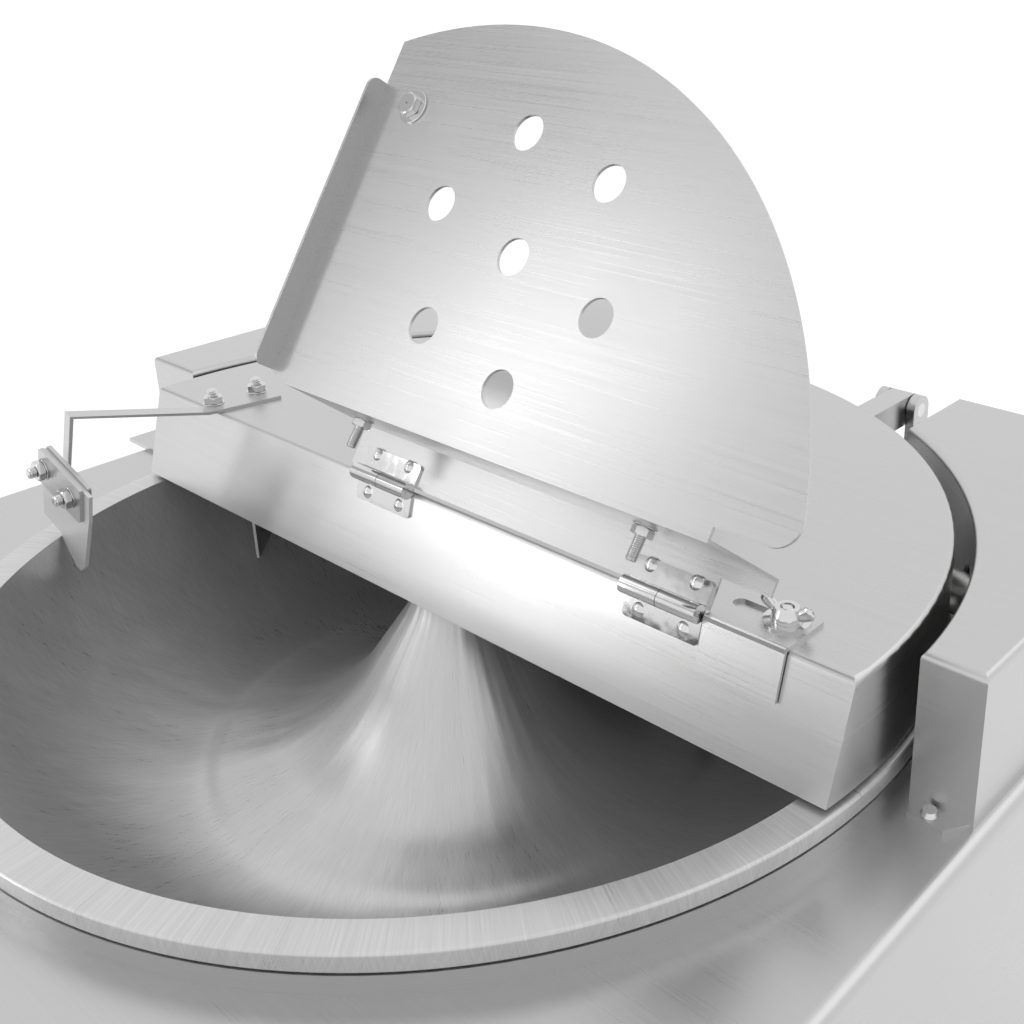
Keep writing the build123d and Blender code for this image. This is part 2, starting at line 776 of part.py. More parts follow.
def motor_plane(x):
    """A plane square to the motor's shaft with its origin on the shaft's axis."""
    return across(x, knife_y, motor_z)


with BuildPart() as motor_frame:
    with BuildSketch(motor_plane(motor_start + motor_cap)):
        Circle(motor_r - motor_fin_depth)
        with PolarLocations(motor_r - motor_fin_depth, motor_fins):
            Rectangle(2 * motor_fin_depth, 3)
        Circle(motor_shaft_r + 2, mode=Mode.SUBTRACT)
    extrude(amount=motor_length - 2 * motor_cap)
    for cap_x in (motor_start, motor_end - motor_cap):
        with BuildSketch(motor_plane(cap_x)):
            Circle(motor_r)
            Circle(motor_shaft_r + running, mode=Mode.SUBTRACT)
        extrude(amount=motor_cap)
motor_frame.part.label = "motor_frame"
export_step(motor_frame.part, "parts/motor_frame.step")

with BuildPart() as motor_cowl:
    with BuildSketch(motor_plane(motor_start)):
        Circle(motor_r - 2)
    extrude(amount=-motor_cowl_length)
    fillet(motor_cowl.edges().sort_by(Axis.X)[0], 6)
    with BuildSketch(motor_plane(motor_start)):
        Circle(motor_r - 2 - sheet)
    extrude(amount=-motor_cowl_length + sheet, mode=Mode.SUBTRACT)
    with BuildSketch(motor_plane(motor_start)):
        with PolarLocations(motor_r / 2, 12):
            SlotOverall(motor_r / 2, 5)
    extrude(amount=-motor_cowl_length, mode=Mode.SUBTRACT)
motor_cowl.part.label = "motor_cowl"
export_step(motor_cowl.part, "parts/motor_cowl.step")

with BuildPart() as motor_shaft:
    with BuildSketch(motor_plane(motor_start - motor_cowl_length + sheet + 3)):
        Circle(motor_shaft_r)
    extrude(amount=pulley_x + pulley_width / 2 - motor_start + motor_cowl_length - sheet - 3)
motor_shaft.part.label = "motor_shaft"
export_step(motor_shaft.part, "parts/motor_shaft.step")

with BuildPart() as motor_fan:
    with BuildSketch(motor_plane(motor_start - 4)):
        Circle(motor_r / 3)
        Circle(motor_shaft_r + seat, mode=Mode.SUBTRACT)
    extrude(amount=-motor_cowl_length / 2)
    with BuildSketch(motor_plane(motor_start - 4)):
        with PolarLocations((fan_r + motor_r / 3 - 2) / 2, 8):
            Rectangle(fan_r - motor_r / 3 + 2, 3)
    extrude(amount=-motor_cowl_length / 2)
motor_fan.part.label = "motor_fan"
export_step(motor_fan.part, "parts/motor_fan.step")

with BuildPart() as motor_pulley:
    with BuildSketch(facing(knife_y, pulley_x, motor_z)):
        with BuildLine():
            Polyline(pulley_section(motor_pulley_r, motor_shaft_r + seat), close=True)
        make_face()
    revolve(axis=Axis(at(0, knife_y, motor_z), (1, 0, 0)))
motor_pulley.part.label = "motor_pulley"
export_step(motor_pulley.part, "parts/motor_pulley.step")

belt_lean = math.asin((motor_pulley_r - knife_pulley_r) / belt_drop)


def belt_side(radius, centre_z, side):
    """Where the belt's straight run touches a pulley."""
    return (side * radius * math.cos(belt_lean), centre_z + radius * math.sin(belt_lean))


with BuildPart() as v_belt:
    with BuildLine(knife_plane(pulley_x)):
        upper_left = belt_side(knife_pulley_r, 0, -1)
        upper_right = belt_side(knife_pulley_r, 0, 1)
        lower_left = belt_side(motor_pulley_r, -belt_drop, -1)
        lower_right = belt_side(motor_pulley_r, -belt_drop, 1)
        Line(lower_left, upper_left)
        ThreePointArc(upper_left, (0, knife_pulley_r), upper_right)
        Line(upper_right, lower_right)
        ThreePointArc(lower_right, (0, -belt_drop - motor_pulley_r), lower_left)
    belt_foot = (motor_pulley_r * math.cos(belt_lean), motor_z + motor_pulley_r * math.sin(belt_lean))
    belt_plane = Plane(
        origin=at(pulley_x, knife_y - belt_foot[0], belt_foot[1]),
        x_dir=(1, 0, 0),
        z_dir=(0, math.sin(belt_lean), math.cos(belt_lean)),
    )
    with BuildSketch(belt_plane):
        belt_root = belt_top / 2 - belt_depth * math.tan(pressure_angle)
        with BuildLine():
            Polyline(
                (-belt_top / 2, 0),
                (belt_top / 2, 0),
                (belt_root, belt_depth),
                (-belt_root, belt_depth),
                close=True,
            )
        make_face()
    sweep()
v_belt.part.label = "v_belt"
export_step(v_belt.part, "parts/v_belt.step")

bracket_floor = cabinet_bottom + base_sheet
cradle_half = 0.7 * motor_r
with BuildPart() as motor_bracket:
    with BuildSketch(level(bracket_floor, (motor_start + motor_end) / 2, knife_y)):
        Rectangle(motor_length - 2 * motor_cap - 6, 2.4 * motor_r)
    extrude(amount=channel_sheet)
    for cradle_x in (motor_start + motor_cap + 6, motor_end - motor_cap - 14):
        with BuildSketch(across(cradle_x, knife_y)):
            with Locations((0, (bracket_floor + motor_z) / 2)):
                Rectangle(2 * cradle_half, motor_z - bracket_floor)
        extrude(amount=8)
    with BuildSketch(motor_plane(motor_start)):
        Circle(motor_r + seat)
    extrude(amount=motor_length, mode=Mode.SUBTRACT)
motor_bracket.part.label = "motor_bracket"
export_step(motor_bracket.part, "parts/motor_bracket.step")


# ---------------------------------------------------------------- knife cover

cover_height = cover_top_z - cover_gap
face_turn = math.radians(face_slope)
flap_turn = math.radians(flap_lean)
face_foot_y = crease_y - cover_height * math.tan(face_turn)
arm_x = arm_inset - cover_r
arm_fasteners_at = ((arm_x, -11.0), (arm_x + 2.4, 14.3))
bolt_r = 3.0
bolt_nut_r = 5.4
bolt_nut_height = 4.0
bolt_proud = 4.0
inner_flange_sheet = 2.0
dome_foot = math.sqrt(dome_r**2 - (cover_top_z - knife_axis_z) ** 2)
dome_inner_r = dome_r - cover_sheet
dome_opening = 2 * math.sqrt(dome_inner_r**2 - (cover_top_z - knife_axis_z) ** 2)


def face_plane(x, out=0.0):
    """A plane on the cover's sloping front, its own Y axis running up to the crease."""
    return Plane(
        origin=at(
            x, crease_y - out * math.cos(face_turn), cover_top_z + out * math.sin(face_turn)
        ),
        x_dir=(1, 0, 0),
        z_dir=(0, -math.cos(face_turn), math.sin(face_turn)),
    )


def flap_plane(x, behind=0.0):
    """A plane through the flap's hinge line, its own Y axis running up the raised flap."""
    return Plane(
        origin=at(
            x, hinge_y + behind * math.sin(flap_turn), hinge_z - behind * math.cos(flap_turn)
        ),
        x_dir=(1, 0, 0),
        z_dir=(0, -math.sin(flap_turn), math.cos(flap_turn)),
    )


back_lug_xs = [back_hinge_x + side * back_hinge_span / 2 for side in (-1, 1)]
back_ear_width = 5.0
back_play = 0.5
rivet_xs = [x + side * rivet_spacing / 2 for x in hinge_x for side in (-1, 1)]
lower_rivet_v = (41.6 - cover_top_z) / math.cos(face_turn)
upper_rivet_v = 10.6
rivet_shank_r = 1.6

with BuildPart() as knife_cover:
    with BuildSketch(level(cover_gap)):
        Circle(cover_r)
    extrude(amount=cover_height)
    with BuildSketch(across(-cover_r)):
        with BuildLine():
            Polyline(
                (crease_y, cover_top_z),
                (face_foot_y, cover_gap),
                (-cover_r, cover_gap),
                (-cover_r, cover_top_z),
                close=True,
            )
        make_face()
    extrude(amount=2 * cover_r, mode=Mode.SUBTRACT)
    fillet(knife_cover.faces().sort_by(Axis.Z)[-1].edges(), cover_edge_r)
    offset(amount=-cover_sheet, openings=knife_cover.faces().sort_by(Axis.Z)[0])
    for lug_x in back_lug_xs:
        wall_y = math.sqrt((cover_r - cover_sheet / 2) ** 2 - (abs(lug_x) + back_lug_width / 2) ** 2)
        with BuildSketch(across(lug_x - back_lug_width / 2)):
            with Locations(((wall_y + back_hinge_y) / 2, back_hinge_z)):
                Rectangle(back_hinge_y - wall_y, 2 * back_lug_r)
            with Locations((back_hinge_y, back_hinge_z)):
                Circle(back_lug_r)
                Circle(back_pin_r + seat, mode=Mode.SUBTRACT)
        extrude(amount=back_lug_width)
    with BuildSketch(level(cover_gap)):
        Circle(cover_r - cover_sheet)
        with Locations((0, -1.5 * cover_r)):
            Rectangle(3 * cover_r, 3 * cover_r, mode=Mode.SUBTRACT)
    extrude(amount=cover_height - cover_sheet - cover_edge_r, mode=Mode.SUBTRACT)
    with BuildSketch(level(cover_top_z, 0, knife_y)):
        Rectangle(dome_width - 2 * cover_sheet, dome_opening)
    extrude(amount=-2 * cover_sheet, mode=Mode.SUBTRACT)
    with BuildSketch(knife_plane(knife_y)):
        SlotCenterToCenter(2 * knife_axis_z, shaft_slot_width, rotation=90)
        with Locations((0, -2 * knife_axis_z)):
            Rectangle(shaft_slot_width, 4 * knife_axis_z)
    extrude(amount=cover_r, mode=Mode.SUBTRACT)
    with BuildSketch(level(cover_top_z)):
        with Locations(*arm_fasteners_at, (wing_x, wing_y)):
            Circle(bolt_r + seat)
    extrude(amount=-2 * cover_sheet, mode=Mode.SUBTRACT)
    with BuildSketch(face_plane(0)):
        with Locations(*[(x, lower_rivet_v) for x in rivet_xs]):
            Circle(rivet_shank_r + seat)
    extrude(amount=-2 * cover_sheet, mode=Mode.SUBTRACT)
knife_cover.part.label = "knife_cover"
export_step(knife_cover.part, "parts/knife_cover.step")

with BuildPart() as knife_dome:
    with BuildSketch(knife_plane(-dome_width / 2)):
        Circle(dome_r)
        with Locations((0, cover_top_z - knife_axis_z - dome_r)):
            Rectangle(2 * dome_r, 2 * dome_r, mode=Mode.SUBTRACT)
    extrude(amount=dome_width)
    fillet(knife_dome.edges().filter_by(GeomType.CIRCLE), dome_edge_r)
    offset(amount=-cover_sheet, openings=knife_dome.faces().sort_by(Axis.Z)[0])
knife_dome.part.label = "knife_dome"
export_step(knife_dome.part, "parts/knife_dome.step")

# ---------------------------------------------------------------- cover hinge


ear_offset = back_lug_width / 2 + back_play
with BuildPart() as back_pins:
    for lug_x in back_lug_xs:
        with BuildSketch(across(lug_x - ear_offset - back_ear_width, back_hinge_y, back_hinge_z)):
            Circle(back_pin_r)
        extrude(amount=2 * (ear_offset + back_ear_width))
back_pins.part.label = "back_pins"
export_step(back_pins.part, "parts/back_pins.step")

with BuildPart() as hinge_brackets:
    for lug_x in back_lug_xs:
        for ear_x in (lug_x - ear_offset - back_ear_width, lug_x + ear_offset):
            with BuildSketch(across(ear_x, back_hinge_y)):
                with Locations((0, back_hinge_z)):
                    Circle(back_lug_r)
                with Locations((0, (back_hinge_z + deck_z) / 2)):
                    Rectangle(2 * back_lug_r, back_hinge_z - deck_z)
                with Locations((0, back_hinge_z)):
                    Circle(back_pin_r + running, mode=Mode.SUBTRACT)
            extrude(amount=back_ear_width)
        with BuildSketch(level(deck_z, lug_x, back_hinge_y)):
            Rectangle(2 * (ear_offset + back_ear_width), 2 * back_lug_r)
        extrude(amount=4)
hinge_brackets.part.label = "hinge_brackets"
export_step(hinge_brackets.part, "parts/hinge_brackets.step")


# ---------------------------------------------------------------- guard flap hinges

knuckle_count = 2
knuckle_play = 0.3
knuckle_length = hinge_length / knuckle_count
leaf_foot = (37.3 - cover_top_z) / math.cos(face_turn)
axis_out = (crease_y - hinge_y) * math.cos(face_turn) + (hinge_z - cover_top_z) * math.sin(face_turn)
axis_up = (hinge_z - cover_top_z) * math.cos(face_turn) - (crease_y - hinge_y) * math.sin(face_turn)
upper_leaf_gap = 2.1


def barrel_starts(first):
    """Left ends of every second barrel of both hinges, from the given one on."""
    turns = range(first, knuckle_count, 2)
    return [x - hinge_length / 2 + index * knuckle_length for x in hinge_x for index in turns]


with BuildPart() as hinge_lower_leaves:
    with BuildSketch(face_plane(0)):
        with Locations(*[(x, (leaf_foot + axis_up) / 2) for x in hinge_x]):
            RectangleRounded(hinge_length, axis_up - leaf_foot, leaf_corner_r)
    extrude(amount=leaf_sheet)
    for start in barrel_starts(0):
        with BuildSketch(across(start + knuckle_play / 2, hinge_y, hinge_z)):
            Circle(knuckle_r)
        extrude(amount=knuckle_length - knuckle_play)
    for start in barrel_starts(1):
        with BuildSketch(across(start - knuckle_play / 2, hinge_y, hinge_z)):
            Circle(knuckle_r + knuckle_play)
        extrude(amount=knuckle_length + knuckle_play, mode=Mode.SUBTRACT)
    with BuildSketch(across(-cover_r, hinge_y, hinge_z)):
        Circle(hinge_pin_r + seat)
    extrude(amount=2 * cover_r, mode=Mode.SUBTRACT)
    with BuildSketch(face_plane(0)):
        with Locations(*[(x, lower_rivet_v) for x in rivet_xs]):
            Circle(rivet_shank_r + seat)
    extrude(amount=leaf_sheet, mode=Mode.SUBTRACT)
hinge_lower_leaves.part.label = "hinge_lower_leaves"
export_step(hinge_lower_leaves.part, "parts/hinge_lower_leaves.step")

with BuildPart() as hinge_upper_leaves:
    with BuildSketch(flap_plane(0, upper_leaf_gap)):
        with Locations(*[(x, hinge_leaf / 2) for x in hinge_x]):
            RectangleRounded(hinge_length, hinge_leaf, leaf_corner_r)
    extrude(amount=-leaf_sheet)
    for start in barrel_starts(1):
        with BuildSketch(across(start + knuckle_play / 2, hinge_y, hinge_z)):
            Circle(knuckle_r)
        extrude(amount=knuckle_length - knuckle_play)
    for start in barrel_starts(0):
        with BuildSketch(across(start - knuckle_play / 2, hinge_y, hinge_z)):
            Circle(knuckle_r + knuckle_play)
        extrude(amount=knuckle_length + knuckle_play, mode=Mode.SUBTRACT)
    with BuildSketch(across(-cover_r, hinge_y, hinge_z)):
        Circle(hinge_pin_r + running)
    extrude(amount=2 * cover_r, mode=Mode.SUBTRACT)
    with BuildSketch(flap_plane(0, upper_leaf_gap)):
        with Locations(*[(x, upper_rivet_v) for x in rivet_xs]):
            Circle(rivet_shank_r + seat)
    extrude(amount=-leaf_sheet, mode=Mode.SUBTRACT)
hinge_upper_leaves.part.label = "hinge_upper_leaves"
export_step(hinge_upper_leaves.part, "parts/hinge_upper_leaves.step")

with BuildPart() as hinge_pins:
    for x in hinge_x:
        with BuildSketch(across(x - hinge_length / 2, hinge_y, hinge_z)):
            Circle(hinge_pin_r)
        extrude(amount=hinge_length)
hinge_pins.part.label = "hinge_pins"
export_step(hinge_pins.part, "parts/hinge_pins.step")

rivet_head = 1.4
with BuildPart() as lower_rivets:
    with BuildSketch(face_plane(0, leaf_sheet)):
        with Locations(*[(x, lower_rivet_v) for x in rivet_xs]):
            Circle(rivet_r)
    extrude(amount=rivet_head, taper=25)
    with BuildSketch(face_plane(0, leaf_sheet)):
        with Locations(*[(x, lower_rivet_v) for x in rivet_xs]):
            Circle(rivet_shank_r)
    extrude(amount=-leaf_sheet - cover_sheet)
lower_rivets.part.label = "lower_rivets"
export_step(lower_rivets.part, "parts/lower_rivets.step")

with BuildPart() as upper_rivets:
    with BuildSketch(flap_plane(0, upper_leaf_gap)):
        with Locations(*[(x, upper_rivet_v) for x in rivet_xs]):
            Circle(rivet_r)
    extrude(amount=rivet_head, taper=25)
    with BuildSketch(flap_plane(0, upper_leaf_gap)):
        with Locations(*[(x, upper_rivet_v) for x in rivet_xs]):
            Circle(rivet_shank_r)
    extrude(amount=-leaf_sheet - flap_sheet)
upper_rivets.part.label = "upper_rivets"
export_step(upper_rivets.part, "parts/upper_rivets.step")


# ---------------------------------------------------------------- guard flap

strip_gap = upper_leaf_gap + leaf_sheet
plate_out = hinge_z - flap_over_rim
wall_turn = math.radians(wall_lean)
wall_length = (plate_out + strip_gap) / math.sin(wall_turn + flap_turn)
wall_foot = strip_height - wall_length * math.cos(wall_turn + flap_turn)
plate_right = plate_middle[0] + math.sqrt(plate_r**2 - (plate_foot_right - plate_middle[1]) ** 2)
vent_steps = ((0, 0), (1, 0), (-1, 0), (0, 1), (0, -1), (1, 1), (-1, -1))
vents = [
    (
        vent_centre[0] + i * vent_row[0] + j * vent_column[0],
        vent_centre[1] + i * vent_row[1] + j * vent_column[1],
    )
    for i, j in vent_steps
]


def wall_plane(up=0.0, out=0.0):
    """A plane on the flap's wall: its own Y axis runs from the strip to the plate."""
    corner = flap_plane(0, strip_gap).from_local_coords((0, strip_height, 0))
    along = up * math.cos(wall_turn) + out * math.sin(wall_turn)
    rise = up * math.sin(wall_turn) - out * math.cos(wall_turn)
    return Plane(
        origin=(bowl_x, corner.Y - along, corner.Z + rise),
        x_dir=(1, 0, 0),
        z_dir=(0, -math.sin(wall_turn), -math.cos(wall_turn)),
    )


def plate_edge(x):
    """Height of the plate's round edge above the hinge line."""
    return plate_middle[1] + math.sqrt(plate_r**2 - (x - plate_middle[0]) ** 2)


flap_front = Axis((0, 0, 0), (-math.sin(flap_turn), math.cos(flap_turn), 0))

with BuildPart() as guard_flap:
    with BuildSketch(flap_plane(0, strip_gap)):
        with BuildLine():
            Polyline(
                (strip_left, strip_foot),
                (bracket_left, strip_foot),
                (bracket_left, strip_notch),
                (strip_right, strip_notch),
                (strip_right, strip_height + flap_sheet / 2),
                (strip_left, strip_height + flap_sheet / 2),
                close=True,
            )
        make_face()
    extrude(amount=-flap_sheet)
    with BuildSketch(wall_plane()):
        with Locations(((strip_left + strip_right) / 2, (wall_length - flap_sheet) / 2)):
            Rectangle(strip_right - strip_left, wall_length + flap_sheet)
    extrude(amount=-flap_sheet)
    with BuildSketch(flap_plane(0, -plate_out)):
        with BuildLine():
            Polyline(
                (strip_left, wall_foot),
                (strip_left, plate_foot_left),
                (plate_left, plate_foot_left),
                (plate_left, plate_edge(plate_left)),
            )
            ThreePointArc(
                (plate_left, plate_edge(plate_left)),
                (plate_middle[0], plate_edge(plate_middle[0])),
                (plate_right, plate_foot_right),
            )
            Polyline(
                (plate_right, plate_foot_right),
                (strip_right, plate_foot_right),
                (strip_right, wall_foot),
                (strip_left, wall_foot),
            )
        plate_outline = make_face()
        fillet(plate_outline.vertices().sort_by(Axis.X)[-1], plate_corner_r)
    extrude(amount=-flap_sheet)
    with BuildSketch(Plane(origin=at(plate_left, hinge_y, hinge_z), x_dir=(0, 1, 0), z_dir=(1, 0, 0))):
        with Locations(
            Location((-plate_out * math.sin(flap_turn), plate_out * math.cos(flap_turn), 0), flap_lean)
        ):
            with Locations(((side_flange_start + side_flange_end) / 2, (side_flange - flap_sheet) / 2)):
                Rectangle(side_flange_end - side_flange_start, side_flange + flap_sheet)
        fillet(vertices().sort_by(flap_front)[-2:], side_flange_r)
    extrude(amount=flap_sheet)
    with BuildSketch(flap_plane(0, -plate_out)):
        with Locations(*vents):
            Circle(vent_d / 2)
        with Locations(flap_bolt_at):
            Circle(flap_bolt_r + seat)
    extrude(amount=-flap_sheet, mode=Mode.SUBTRACT)
    with BuildSketch(flap_plane(0, strip_gap)):
        with Locations(*[(x, upper_rivet_v) for x in rivet_xs]):
            Circle(rivet_shank_r + seat)
    extrude(amount=-flap_sheet, mode=Mode.SUBTRACT)
    with BuildSketch(wall_plane()):
        with Locations(*[(x, stud_up) for x in stud_x]):
            Circle(stud_r + seat)
    extrude(amount=-flap_sheet, mode=Mode.SUBTRACT)
guard_flap.part.label = "guard_flap"
export_step(guard_flap.part, "parts/guard_flap.step")

with BuildPart() as flap_bolt:
    with BuildSketch(flap_plane(0, -plate_out)):
        with Locations(flap_bolt_at):
            Circle(3 * flap_bolt_r)
    extrude(amount=1)
    with BuildSketch(flap_plane(0, -plate_out - 1)):
        with Locations(flap_bolt_at):
            RegularPolygon(2 * flap_bolt_r, 6)
    extrude(amount=4)
    with BuildSketch(flap_plane(0, -plate_out)):
        with Locations(flap_bolt_at):
            Circle(flap_bolt_r)
    extrude(amount=-3 * flap_sheet)
    with BuildSketch(flap_plane(0, flap_sheet - plate_out)):
        with Locations(flap_bolt_at):
            RegularPolygon(2 * flap_bolt_r, 6)
    extrude(amount=-2 * flap_sheet)
flap_bolt.part.label = "flap_bolt"
export_step(flap_bolt.part, "parts/flap_bolt.step")

with BuildPart() as flap_studs:
    for x in stud_x:
        with BuildSketch(wall_plane(stud_up)):
            with Locations((x, 0)):
                Circle(stud_r)
        extrude(amount=stud_length)
        with BuildSketch(wall_plane(stud_up)):
            with Locations((x, 0)):
                RegularPolygon(stud_nut_r, 6)
        extrude(amount=stud_nut_height)
        with BuildSketch(wall_plane(stud_up)):
            with Locations((x, 0)):
                Circle(stud_r)
        extrude(amount=-flap_sheet)
        with BuildSketch(wall_plane(stud_up, -flap_sheet)):
            with Locations((x, 0)):
                RegularPolygon(stud_nut_r, 6)
        extrude(amount=-stud_nut_height)
flap_studs.part.label = "flap_studs"
export_step(flap_studs.part, "parts/flap_studs.step")


# ---------------------------------------------------------------- stop bracket

bracket_mid = (bracket_left + bracket_right) / 2
bracket_out = bracket_gap + bracket_sheet
bracket_front = crease_y - bracket_out / math.cos(face_turn)
bracket_slot = 6.4
with BuildPart() as stop_bracket:
    with BuildSketch(level(cover_top_z)):
        with BuildLine():
            Polyline(
                (bracket_left, bracket_front),
                (bracket_right, bracket_front),
                (bracket_right, bracket_back),
                (bracket_left, bracket_back),
                close=True,
            )
        make_face()
    extrude(amount=bracket_sheet)
    fillet(stop_bracket.edges().filter_by(Axis.Z).sort_by(Axis.Y)[-2:], 3)
    with BuildSketch(face_plane(bracket_mid, bracket_gap)):
        with Locations((0, -bracket_tab / 2 + 1)):
            Rectangle(bracket_right - bracket_left, bracket_tab + 1.5)
    extrude(amount=bracket_sheet)
    with BuildSketch(level(cover_top_z)):
        with Locations(((bracket_slot_left + wing_x + wing_stud_r) / 2, wing_y)):
            SlotOverall(wing_x + wing_stud_r - bracket_slot_left + loose, bracket_slot)
    extrude(amount=bracket_sheet, mode=Mode.SUBTRACT)
stop_bracket.part.label = "stop_bracket"
export_step(stop_bracket.part, "parts/stop_bracket.step")

washer_z = cover_top_z + bracket_sheet
washer_sheet = 1.0
with BuildPart() as wing_washer:
    with BuildSketch(level(washer_z, wing_x, wing_y)):
        Circle(wing_washer_r)
        Circle(wing_stud_r + seat, mode=Mode.SUBTRACT)
    extrude(amount=washer_sheet)
wing_washer.part.label = "wing_washer"
export_step(wing_washer.part, "parts/wing_washer.step")

wing_top_z = 60.0
wing_hub_height = 5.0
with BuildPart() as wing_stud:
    with BuildSketch(level(cover_top_z - 2 * cover_sheet, wing_x, wing_y)):
        RegularPolygon(1.8 * wing_stud_r, 6)
    extrude(amount=-3)
    with BuildSketch(level(cover_top_z - 2 * cover_sheet, wing_x, wing_y)):
        Circle(wing_stud_r)
    extrude(amount=wing_top_z - cover_top_z + 2 * cover_sheet - 1)
wing_stud.part.label = "wing_stud"
export_step(wing_stud.part, "parts/wing_stud.step")

wing_foot_z = washer_z + washer_sheet
with BuildPart() as wing_nut:
    with BuildSketch(level(wing_foot_z, wing_x, wing_y)):
        Circle(2 * wing_stud_r)
    extrude(amount=wing_hub_height, taper=8)
    with BuildSketch(facing(wing_y - 1, wing_x)):
        for side in (-1, 1):
            with BuildLine():
                Polyline(
                    (side * wing_stud_r * 1.4, wing_foot_z + 0.6),
                    (side * wing_span / 2, wing_top_z - 4),
                    (side * wing_span / 2, wing_top_z),
                    (side * wing_span / 3, wing_top_z),
                    (side * wing_stud_r * 1.2, wing_foot_z + wing_hub_height),
                    close=True,
                )
            make_face()
    extrude(amount=-2)
    with BuildSketch(level(wing_foot_z, wing_x, wing_y)):
        Circle(wing_stud_r + running)
    extrude(amount=2 * wing_hub_height, mode=Mode.SUBTRACT)
wing_nut.part.label = "wing_nut"
export_step(wing_nut.part, "parts/wing_nut.step")


# ---------------------------------------------------------------- scrapers

arm_heading = math.radians(arm_turn)
arm_forward = (-math.sin(arm_heading), -math.cos(arm_heading), 0)
arm_side = (math.cos(arm_heading), -math.sin(arm_heading), 0)
arm_climb = math.radians(arm_rise)


def arm_place(along, up=0.0):
    """A place over the arm's foot, moved forward along the arm and up."""
    return (
        bowl_x + arm_x + 2.5 + along * arm_forward[0],
        bowl_y + arm_foot_y + along * arm_forward[1],
        rim_z + cover_top_z + up,
    )


arm_section = Plane(
    origin=arm_place(0),
    x_dir=(-arm_forward[0], -arm_forward[1], 0),
    z_dir=(arm_side[0], arm_side[1], 0),
)
scraper_x = scraper_inset_x - rim_inner_r
scraper_y = -math.sqrt((rim_inner_r - scraper_inset) ** 2 - scraper_x**2)
leg_forward = (arm_foot_y - scraper_y - arm_stand_off) / math.cos(arm_heading)
arm_reach = (leg_forward - arm_leg * math.sin(arm_climb)) / math.cos(arm_climb)
arm_end = (-arm_reach * math.cos(arm_climb), arm_reach * math.sin(arm_climb))
leg_foot = (
    arm_end[0] - arm_leg * math.sin(arm_climb),
    arm_end[1] - arm_leg * math.cos(arm_climb),
)
arm_inner = (arm_end[0] + arm_sheet, arm_end[1] - arm_sheet)

with BuildPart() as scraper_arm:
    with BuildSketch(arm_section.offset(-arm_width / 2)):
        with BuildLine():
            Polyline(
                (arm_on_cover, 0),
                (0, 0),
                (arm_end[0] + arm_sheet, arm_end[1]),
                (leg_foot[0] + arm_sheet, leg_foot[1]),
                leg_foot,
                (arm_end[0], arm_end[1] + arm_sheet),
                (0, arm_sheet),
                (arm_on_cover, arm_sheet),
                close=True,
            )
        make_face()
    extrude(amount=arm_width)
    with BuildSketch(level(cover_top_z)):
        with Locations(*arm_fasteners_at):
            Circle(bolt_r + seat)
    extrude(amount=arm_sheet, mode=Mode.SUBTRACT)
scraper_arm.part.label = "scraper_arm"
export_step(scraper_arm.part, "parts/scraper_arm.step")


tilt = math.radians(scraper_tilt)
scraper_plane = Plane(
    origin=at(scraper_x, scraper_y, scraper_z),
    x_dir=(math.cos(tilt), 0, -math.sin(tilt)),
    z_dir=(0, -1, 0),
)
clamp_bolt_along = (-12.0, 13.0)

with BuildPart() as scraper_blade:
    with BuildSketch(scraper_plane.offset(-blade_sheet / 2)):
        with BuildLine():
            Polyline(
                (-19.5, 9),
                (-19.5, -33),
                (-3, -33.5),
                (2.5, -38.5),
                (12.6, -45),
                (17.4, -44.7),
                (20.7, -39.5),
                (24.7, -7.2),
                (24.7, 9),
                close=True,
            )
        make_face()
        with Locations(*[(along, 0) for along in clamp_bolt_along]):
            Circle(bolt_r + seat, mode=Mode.SUBTRACT)
    extrude(amount=blade_sheet)
scraper_blade.part.label = "scraper_blade"
export_step(scraper_blade.part, "parts/scraper_blade.step")

with BuildPart() as clamp_plates:
    for side in (-1, 1):
        with BuildSketch(scraper_plane.offset(side * blade_sheet / 2)):
            RectangleRounded(clamp_length, clamp_height, 2)
            with Locations(*[(along, 0) for along in clamp_bolt_along]):
                Circle(bolt_r + seat, mode=Mode.SUBTRACT)
        extrude(amount=side * clamp_sheet)
clamp_plates.part.label = "clamp_plates"
export_step(clamp_plates.part, "parts/clamp_plates.step")

with BuildPart() as scraper_bolts:
    for fastener, grip in zip(arm_fasteners_at, (cover_sheet, cover_sheet + inner_flange_sheet)):
        with BuildSketch(level(cover_top_z + arm_sheet, *fastener)):
            RegularPolygon(bolt_nut_r, 6)
        extrude(amount=bolt_nut_height)
        with BuildSketch(level(cover_top_z - grip, *fastener)):
            Circle(bolt_r)
        extrude(amount=grip + arm_sheet + bolt_nut_height + bolt_proud)
    with BuildSketch(level(cover_top_z - cover_sheet - inner_flange_sheet, *arm_fasteners_at[1])):
        RegularPolygon(bolt_nut_r, 6)
    extrude(amount=-bolt_nut_height)
    stack = blade_sheet / 2 + clamp_sheet
    for along in clamp_bolt_along:
        with BuildSketch(scraper_plane.offset(-stack)):
            with Locations((along, 0)):
                Circle(bolt_r)
        extrude(amount=2 * stack + bolt_nut_height + bolt_proud)
        with BuildSketch(scraper_plane.offset(stack)):
            with Locations((along, 0)):
                RegularPolygon(bolt_nut_r, 6)
        extrude(amount=bolt_nut_height)
scraper_bolts.part.label = "scraper_bolts"
export_step(scraper_bolts.part, "parts/scraper_bolts.step")

